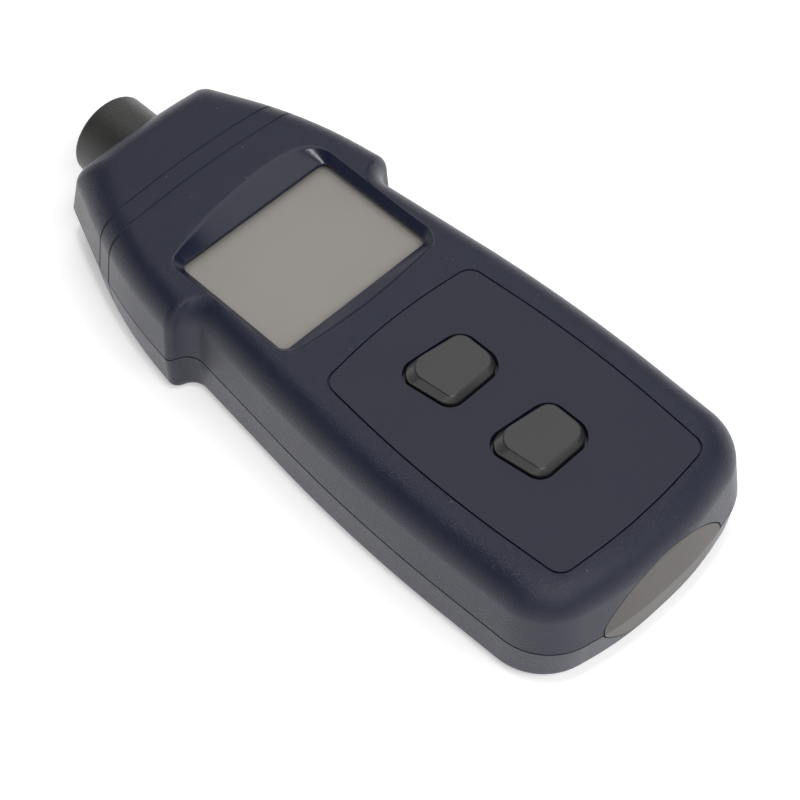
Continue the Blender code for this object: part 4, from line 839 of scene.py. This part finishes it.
seat.append((door_outline(-GAP), 0.00195))
bores = rods("bore", 0.0016, CASE_SCREWS, 0.003, PARTING + 0.002, 24)
combine(back_half, [loft("door_seat", seat), *bores], "DIFFERENCE")
small = [
    block("hook_slot", (x - 0.0033, BAY_LOW - 0.0028, 0.0015), (x + 0.0033, BAY_LOW + 0.001, 0.0036))
    for x in HOOK_XS
]
small += [
    block("lead_notch", (x - 0.002, BAY_HIGH - 0.001, 0.01245), (x + 0.002, BAY_HIGH + 0.0025, 0.01605))
    for x in LEAD_XS
]
FINGER_Y = BAY_HIGH + 0.0086
scoop = [(0.0, 0.0009), (0.0062, 0.00082), (0.0080, 0.00062), (0.0088, 0.0003)]
scoop += [(0.009, 0.0), (0.009, -0.002), (0.0, -0.002)]
small.append(move(turned("finger_scoop", scoop, 64), (0, FINGER_Y, 0)))
combine(back_half, small + end_openings(), "DIFFERENCE")
combine(back_half, [head_groove(0), head_groove(1)], "DIFFERENCE")
finish_surface(back_half, [sparked])
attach(back_half, "case")
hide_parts("rear_shell")

# Label plate: a thin satin film plate let into the front round both keys.
# Its wording is left off. It is glued into its seat, 0.3 mm clear all round.
PLATE_THICKNESS = 0.0005
PLATE_EDGE = 0.00012
plate_levels = [(label_outline(GAP), BODY_HEIGHT - PLATE_THICKNESS)]
for out, fall in quarter_arc(4):
    plate_levels.append((label_outline(GAP + PLATE_EDGE * out), BODY_HEIGHT - PLATE_EDGE * fall))
label_plate = loft("label_plate", plate_levels)
holes = []
for y in KEY_PLACES.values():
    straight, eased = key_outline(y), key_outline(y, -0.0001)
    levels = [(straight, BODY_HEIGHT - 0.001), (straight, BODY_HEIGHT - 0.0001)]
    levels += [(eased, BODY_HEIGHT + 0.00001), (eased, BODY_HEIGHT + 0.001)]
    holes.append(loft("key_hole", levels))
combine(label_plate, holes, "DIFFERENCE")
FILM_DARK = (0.0068, 0.0084, 0.0215)
FILM_LIGHT = (0.0088, 0.0108, 0.0265)
film = moulded("label_film", FILM_DARK, FILM_LIGHT, 0.40, 1100, 0.000006, 0.29)
finish_surface(label_plate, [film])
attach(label_plate, "case")
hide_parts("front_label")

# The two keys: satin charcoal caps, a flat top with broad chamfered sides
# whose lighter charcoal is a painted sheen. A flange under the front keeps
# each in, and its stem stands on a switch.
KEY_SEAT = 0.0270
KEY_TOP = BODY_HEIGHT + 0.002
KEY_DARK, KEY_LIGHT = (0.0100, 0.0100, 0.0105), (0.0140, 0.0140, 0.0146)
# Lighter charcoal of the sloping sides: a painted sheen.
FLANK_PAINTED_SHEEN_DARK, FLANK_PAINTED_SHEEN_LIGHT = (0.0120, 0.0120, 0.0125), (0.0160, 0.0160, 0.0166)
key_finish = moulded("key_charcoal", KEY_DARK, KEY_LIGHT, 0.34, 1800, 0.000012, 0.50)
key_flank_painted_sheen = moulded("key_flank_painted_sheen", FLANK_PAINTED_SHEEN_DARK, FLANK_PAINTED_SHEEN_LIGHT, 0.28, 1800, 0.000008, 1.0)
KEY_SLOPE = 0.0014
KEY_CHAMFER = 0.0012
KEY_PROFILE = rounded(
    [
        (0.0, -0.0010, 0.0, 0),
        (KEY_SLOPE * 0.1, -0.0006, 0.0002, 3),
        (KEY_SLOPE, KEY_CHAMFER, 0.00022, 5),
        (KEY_SLOPE * 1.4, KEY_CHAMFER, 0.0, 0),
    ]
)


def key_top_outline(centre_y):
    """The flat top of a key, drawn in most at its upper left corner."""
    low, high = centre_y - 0.0072, centre_y + 0.0072
    corners = [
        (-0.00945, high, 0.0056, 16),
        (0.00765, high - 0.0025, 0.0026, 14),
        (0.00765, low, 0.0040, 16),
        (-0.00785, low, 0.0012, 14),
    ]
    return list(reversed(rounded(corners)))


def is_painted_sheen_flank(polygon):
    """True for a face of a key's sloping sides, which take the painted sheen."""
    return 0.2 < polygon.normal.z < 0.85


for key, y in KEY_PLACES.items():
    flange, side, top = key_outline(y, -0.0012), key_outline(y, 0.0006), key_top_outline(y)
    levels = [(flange, KEY_SEAT), (flange, KEY_SEAT + 0.0012), (side, KEY_SEAT + 0.0012)]
    for run, rise in KEY_PROFILE:
        levels.append((blend_outlines(side, top, run / KEY_SLOPE), KEY_TOP - KEY_CHAMFER + rise))
    cap = loft(f"{key}_cap", levels)
    stem = rod("stem", 0.0025, (-0.0001, y, 0.02565), (-0.0001, y, KEY_SEAT + 0.0006), 32)
    combine(cap, [stem], "UNION")
    # The sloping sides take the lighter charcoal of the painted sheen.
    finish_surface(cap, [key_finish, key_flank_painted_sheen], is_painted_sheen_flank, 24)
    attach(cap, f"{key}_key")
    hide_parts(f"{key}_button")

# Sensor tube: a turned charcoal tube through the nose wall. Two ears behind
# the wall hold it, and a dark red filter closes its mouth.
TUBE_FRONT = 0.0103
LENS_SEAT = TUBE_FRONT - 0.0035
tube_profile = rounded(
    [
        (0.0097, TUBE_FRONT, 0.0003, 3),
        (TUBE_RADIUS, TUBE_FRONT, 0.0009, 6),
        (TUBE_RADIUS, -0.0189, 0.0003, 3),
        (0.0083, -0.0189, 0.0003, 3),
        (0.0083, LENS_SEAT, 0.0001, 1),
        (0.0097, LENS_SEAT, 0.0, 0),
    ]
)
tube = turned("tube", tube_profile, 128, closed=True, axis="Y")
move(tube, (0, NOSE_Y, TUBE_HEIGHT))
EAR_FRONT = RIB_Y + 0.0023
ears = []
for side in (-1, 1):
    near, far = sorted((side * 0.0096, side * (TUBE_RADIUS + 0.003)))
    low, high = TUBE_HEIGHT - 0.004, TUBE_HEIGHT + 0.004
    ears.append(block("ear", (near, EAR_FRONT - 0.002, low), (far, EAR_FRONT, high)))
combine(tube, ears, "UNION")
TUBE_DARK, TUBE_LIGHT = (0.020, 0.020, 0.0185), (0.027, 0.0265, 0.025)
finish_surface(tube, [moulded("tube_charcoal", TUBE_DARK, TUBE_LIGHT, 0.40, 2200, 0.00014)])
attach(tube, "case")
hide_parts("sensor_tube")

LENS_RADIUS = 0.0094
lens_profile = [(0.0, 0.0), (LENS_RADIUS - 0.0001, 0.0), (LENS_RADIUS, 0.0001)]
for k in range(17):
    share = 1 - k / 16
    radius = LENS_RADIUS * share
    lens_profile.append((radius, 0.002 - 0.001 * (radius / LENS_RADIUS) ** 2))
lens = turned("red_filter", lens_profile, 96, axis="Y")
move(lens, (0, NOSE_Y + LENS_SEAT + GAP, TUBE_HEIGHT))
filter_red = moulded("filter_red", (0.030, 0.002, 0.003), (0.045, 0.003, 0.004), 0.10, 400, 0.000001)
finish_surface(lens, [filter_red])
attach(lens, "case")
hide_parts("front_lens")

# End insert: a warm grey plate in the base end whose face follows the case,
# with a faint crease at the parting height. The place of its mark is bare.
case_whole = loft("case_whole", back_levels(PARTING)[:-2] + front_levels(PARTING)[2:])
INSERT_BACK = BASE_Y + 0.0064
insert = upright("end_plate", [(insert_outline(), BASE_Y - 0.003), (insert_outline(), INSERT_BACK)])
combine(insert, [case_whole], "INTERSECT")
rim_outline = insert_outline(0.0014)
rim = upright("rim", [(rim_outline, BASE_Y + 0.0052), (rim_outline, INSERT_BACK)])
combine(rim, [block("above_back", (-0.1, -0.2, 0.0023), (0.1, 0.2, 0.1))], "INTERSECT")
combine(insert, [rim], "UNION")
grey = moulded("insert_grey", (0.053, 0.0455, 0.042), (0.068, 0.059, 0.0545), 0.48, 2200, 0.00008)
finish_surface(insert, [grey], degrees=20)
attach(insert, "case")
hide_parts("end_insert")

# Battery door: the same sparked ABS plate, with two hooks at its base end,
# a tongue that steadies it in the bay and four grip grooves by its free end.
DOOR_LOW = 0.00015
DOOR_HIGH = DOOR_LOW + 0.0015
DOOR_EDGE = 0.0003
HOOK_TOP = 0.0029
GRIP_PITCH = 0.0018
door_levels = [
    (door_outline(DOOR_EDGE * fall), DOOR_LOW + DOOR_EDGE * out) for out, fall in quarter_arc(5)
]
door_levels.append((door_outline(), DOOR_HIGH))
door = loft("door_plate", door_levels)
inner_face = DOOR_HIGH - 0.001
for x in HOOK_XS:
    left, right = x - 0.003, x + 0.003
    riser = block("riser", (left, BAY_LOW - 0.0007, inner_face), (right, BAY_LOW + 0.0015, HOOK_TOP))
    tongue = block("tongue", (left, BAY_LOW - 0.002, 0.0018), (right, BAY_LOW, HOOK_TOP))
    combine(riser, [tongue], "UNION")
    combine(door, [riser], "UNION")
latch_low, latch_high = (-0.004, BAY_HIGH - 0.0014), (0.004, BAY_HIGH - 0.0003)
latch = block("latch", (*latch_low, inner_face), (*latch_high, DOOR_HIGH + 0.0016))
combine(door, [latch], "UNION")
grips = []
for n in range(4):
    y = BAY_HIGH - 0.005 - n * GRIP_PITCH
    grips.append(rod("grip", 0.00047, (-0.009, y, DOOR_LOW), (0.009, y, DOOR_LOW), 32))
combine(door, grips, "DIFFERENCE")
finish_surface(door, [sparked])
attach(door, "door")
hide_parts("battery_door")

# Four AA cells side by side, head to tail: plain dark sleeves, with bright
# steel at both ends.
CELL_RADIUS = 0.0071
CELL_LENGTH = 0.0505
CELL_AXIS = 0.00905
CELL_XS = [0.0145 * (n - 1.5) for n in range(4)]
FEET = [BAY_HIGH - 0.001 - CELL_LENGTH, BAY_LOW + 0.001 + CELL_LENGTH]
cell_profile = rounded(
    [
        (0.0, 0.0, 0.0, 0),
        (0.0058, 0.0, 0.0, 0),
        (0.0060, 0.00025, 0.0, 0),
        (CELL_RADIUS, 0.00005, 0.0005, 5),
        (CELL_RADIUS, CELL_LENGTH - 0.0012, 0.0007, 6),
        (0.0062, CELL_LENGTH - 0.0012, 0.0, 0),
        (0.0060, CELL_LENGTH - 0.0014, 0.0, 0),
        (0.0027, CELL_LENGTH - 0.0014, 0.0002, 2),
        (0.0027, CELL_LENGTH, 0.0004, 4),
        (0.0, CELL_LENGTH, 0.0, 0),
    ]
)
sleeve = moulded("cell_sleeve", (0.045, 0.050, 0.058), (0.060, 0.066, 0.076), 0.24, 700, 0.000004)
bright = metal("bright_steel", (0.52, 0.52, 0.50), (0.64, 0.64, 0.62), 0.24)
cells = []
for number, x in enumerate(CELL_XS):
    cell = turned("cell", cell_profile, 72, axis="Y")
    if number % 2:
        cell.data.transform(Matrix.Rotation(math.pi, 4, "Z"))
    cells.append(move(cell, (x, FEET[number % 2], CELL_AXIS)))


def is_bare_steel(polygon):
    """True for a face of a cell's nub or end discs."""
    x, y, z = polygon.center
    off_axis = min(math.hypot(x - cell_x, z - CELL_AXIS) for cell_x in CELL_XS)
    return off_axis < 0.0064


batteries = joined("cells", cells)
finish_surface(batteries, [sleeve, bright], is_bare_steel)
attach(batteries, "case")
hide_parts("battery_1", "battery_2", "battery_3", "battery_4")

# Coil springs of plated wire at the flat ends of the cells: each a narrowing
# spiral, wound by one node group.
WIRE = 0.00035
SPRING_FOOT = 0.0032
SPRING_TIP = 0.00224
SPRING_RISE = 0.0030
SPRING_TURNS = 3.0


def open_group(name, *inputs):
    """A geometry node group with these named inputs and a finish."""
    group = bpy.data.node_groups.new(name, "GeometryNodeTree")
    for label, kind in (("Geometry", "Geometry"), *inputs, ("Finish", "Material")):
        group.interface.new_socket(label, in_out="INPUT", socket_type=f"NodeSocket{kind}")
    group.interface.new_socket("Geometry", in_out="OUTPUT", socket_type="NodeSocketGeometry")
    return group, group.nodes.new("NodeGroupInput").outputs


def close_group(group, given, shape):
    """Ends a group: its instances become real and take the finish."""
    end = group.nodes.new("NodeGroupOutput")
    real = group.nodes.new("GeometryNodeRealizeInstances")
    finished = group.nodes.new("GeometryNodeSetMaterial")
    group.links.new(shape, real.inputs["Geometry"])
    group.links.new(real.outputs["Geometry"], finished.inputs["Geometry"])
    group.links.new(given["Finish"], finished.inputs["Material"])
    group.links.new(finished.outputs["Geometry"], end.inputs["Geometry"])


def grown(made, group, values):
    """What a node group with these named inputs makes of an object."""
    step = made.modifiers.new(group.name, "NODES")
    step.node_group = group
    for item in group.interface.items_tree:
        if item.item_type == "SOCKET" and item.in_out == "INPUT" and item.name in values:
            step[item.identifier] = values[item.name]
    return settle(made)


SPRING_INPUTS = ("Turns", "Foot Radius", "Tip Radius", "Rise", "Wire Radius")
coil, given = open_group("coil_spring", *[(label, "Float") for label in SPRING_INPUTS])
inner, link = coil.nodes, coil.links.new
spiral = inner.new("GeometryNodeCurveSpiral")
spiral.inputs["Resolution"].default_value = 40
link(given["Turns"], spiral.inputs["Rotations"])
link(given["Foot Radius"], spiral.inputs["Start Radius"])
link(given["Tip Radius"], spiral.inputs["End Radius"])
link(given["Rise"], spiral.inputs["Height"])
wire = inner.new("GeometryNodeCurvePrimitiveCircle")
wire.inputs["Resolution"].default_value = 14
link(given["Wire Radius"], wire.inputs["Radius"])
drawn = inner.new("GeometryNodeCurveToMesh")
drawn.inputs["Fill Caps"].default_value = True
link(spiral.outputs["Curve"], drawn.inputs["Curve"])
link(wire.outputs["Curve"], drawn.inputs["Profile Curve"])
close_group(coil, given, drawn.outputs["Mesh"])

springs = []
for number, x in enumerate(CELL_XS):
    sizes = {"Turns": SPRING_TURNS, "Foot Radius": SPRING_FOOT, "Tip Radius": SPRING_TIP}
    sizes.update({"Rise": SPRING_RISE, "Wire Radius": WIRE, "Finish": bright})
    spring = grown(new_object("spring", bmesh.new()), coil, sizes)
    lay = -90 if number % 2 == 0 else 90
    spring.data.transform(Matrix.Rotation(math.radians(lay), 4, "X"))
    foot = BAY_LOW + 0.00135 if number % 2 == 0 else BAY_HIGH - 0.00135
    springs.append(move(spring, (x, foot, CELL_AXIS)))
coils = joined("springs", springs)
finish_surface(coils, [bright], degrees=60)
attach(coils, "case")
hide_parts("contact_spring_1", "contact_spring_2", "contact_spring_3", "contact_spring_4")

# Case screws: plated, cross-recessed, driven from the back through sunk
# bosses into the front. One turned screw is set at each of the four places.
SCREW_LOW = 0.0022
SHANK_RADIUS = 0.00105
THREAD_TURNS = 15
THREAD_PITCH = 0.00098
screw_profile = [(0.0, 0.0), (0.0017, 0.0)]
for k in range(1, 7):
    angle = math.radians(15 * k)
    screw_profile.append((0.0017 + 0.0008 * math.sin(angle), 0.0007 * (1 - math.cos(angle))))
screw_profile += [(0.0025, 0.0018), (SHANK_RADIUS, 0.0018)]
for turn_number in range(THREAD_TURNS):
    low = 0.0022 + turn_number * THREAD_PITCH
    screw_profile += [(SHANK_RADIUS, low), (0.0013, low + 0.0003), (SHANK_RADIUS, low + 0.0006)]
screw_profile += [(0.0007, 0.0171), (0.0, 0.0173)]
screw = turned("screw", screw_profile, 32)
move(screw, (0, 0, SCREW_LOW))
slots = [
    block("slot", (-reach_x, -reach_y, SCREW_LOW - 0.001), (reach_x, reach_y, SCREW_LOW + 0.0009))
    for reach_x, reach_y in ((0.00145, 0.00032), (0.00032, 0.00145))
]
combine(slots[0], [slots[1]], "UNION")
combine(screw, [slots[0]], "DIFFERENCE")
finish_surface(screw, [bright])

setting, given = open_group("screw_setting", ("Screw", "Object"), ("Turn Between", "Float"))
inner, link = setting.nodes, setting.links.new
source = inner.new("GeometryNodeObjectInfo")
link(given["Screw"], source.inputs["Object"])
number = inner.new("GeometryNodeInputIndex")
angle = work_out(setting, "MULTIPLY", number.outputs["Index"], given["Turn Between"])
about_z = inner.new("ShaderNodeCombineXYZ")
link(angle, about_z.inputs["Z"])
turned_by = inner.new("FunctionNodeEulerToRotation")
link(about_z.outputs["Vector"], turned_by.inputs["Euler"])
placed = inner.new("GeometryNodeInstanceOnPoints")
link(given["Geometry"], placed.inputs["Points"])
link(source.outputs["Geometry"], placed.inputs["Instance"])
link(turned_by.outputs["Rotation"], placed.inputs["Rotation"])
close_group(setting, given, placed.outputs["Instances"])

bm = bmesh.new()
for x, y in CASE_SCREWS:
    bm.verts.new((x, y, 0))
places = new_object("case_screws", bm)
screws = grown(places, setting, {"Screw": screw, "Turn Between": 0.7, "Finish": bright})
bpy.data.objects.remove(screw)
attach(screws, "case")
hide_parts("case_screw_1", "case_screw_2", "case_screw_3", "case_screw_4")

# Display: a liquid-crystal cell with a black border and a plain warm grey
# film, unlit. It stands on two rubber strips in a black frame under a pane.
LCD_TOP = 0.0261
LCD_HALF = WINDOW_WIDTH / 2 + 0.0017
LCD_LOW, LCD_HIGH = WINDOW_LOW - 0.0017, WINDOW_TOP + 0.0017
FILM = 0.0001


def glass_outline(low):
    """One of the cell's two sheets of glass."""
    corners = [(-LCD_HALF, low), (LCD_HALF, low), (LCD_HALF, LCD_HIGH), (-LCD_HALF, LCD_HIGH)]
    return rounded([(x, y, 0.0003, 2) for x, y in corners])


lower_sheet, upper_sheet = glass_outline(LCD_LOW), glass_outline(LCD_LOW + 0.001)
glass = [(lower_sheet, LCD_TOP - 0.0028), (lower_sheet, LCD_TOP - 0.0014)]
glass += [(upper_sheet, LCD_TOP - 0.0014), (upper_sheet, LCD_TOP - FILM)]
display = loft("display_cell", glass)
film_levels = [(window_outline(0.0010), LCD_TOP - 2 * FILM), (window_outline(0.0010), LCD_TOP)]
combine(display, [loft("film", film_levels)], "UNION")
BORDER_DARK, BORDER_LIGHT = (0.006, 0.006, 0.007), (0.009, 0.009, 0.010)
black_border = moulded("display_border", BORDER_DARK, BORDER_LIGHT, 0.30, 900, 0.000002)
grey_film = moulded("display_film", (0.214, 0.196, 0.178), (0.238, 0.219, 0.199), 0.60, 300, 0.000001)


def is_film(polygon):
    """True for a face of the film's front."""
    return polygon.center.z > LCD_TOP - FILM / 2


finish_surface(display, [black_border, grey_film], is_film)
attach(display, "case")
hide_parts("lcd_cell")

pane = moulded("window_pane", (0.60, 0.60, 0.57), (0.66, 0.66, 0.63), 0.12, 300, 0.0000002)
pane.node_tree.nodes["Principled BSDF"].inputs["Alpha"].default_value = 0.06
carry_over(pane, "display_window")

# The carried-over solids behind the case: the board with what it carries,
# the switches, the optics, the contacts and the leads.
PLAIN_FINISHES = (
    ("black_moulding", (0.012, 0.012, 0.012), (0.018, 0.018, 0.018), 0.45, 1500, 0.00001),
    ("capacitor_sleeve", (0.014, 0.018, 0.050), (0.020, 0.025, 0.065), 0.3, 900, 0.000005),
    ("red_insulation", (0.36, 0.014, 0.014), (0.46, 0.022, 0.020), 0.35, 900, 0.000006),
    ("strip_rubber", (0.24, 0.22, 0.24), (0.36, 0.34, 0.36), 0.7, 1500, 0.00002),
    ("board_lacquer", (0.012, 0.085, 0.032), (0.030, 0.170, 0.075), 0.28, 500, 0.00001),
)
black, sleeve_blue, red, rubber, lacquer = [moulded(*values) for values in PLAIN_FINISHES]
brass = metal("turned_brass", (0.60, 0.40, 0.14), (0.72, 0.52, 0.22), 0.28)
carry_over(black, "read_plunger", "mem_plunger", "optics_holder", "photodiode", "controller_chip")
carry_over(black, "lcd_frame", "sensor_lead_1", "sensor_lead_2", "battery_lead_black")
carry_over(sleeve_blue, "capacitor")
carry_over(red, "battery_lead_red")
carry_over(rubber, "contact_strip_lower", "contact_strip_upper")
carry_over(lacquer, "main_board", "sensor_board")
carry_over(brass, "laser_module")
carry_over(bright, "read_switch", "mem_switch", "crystal", "contact_plus", "contact_minus")
carry_over(bright, "board_screw_1", "board_screw_2", "board_screw_3", "board_screw_4")
carry_over(bright, "contact_link_left", "contact_link_right", "contact_link_middle")
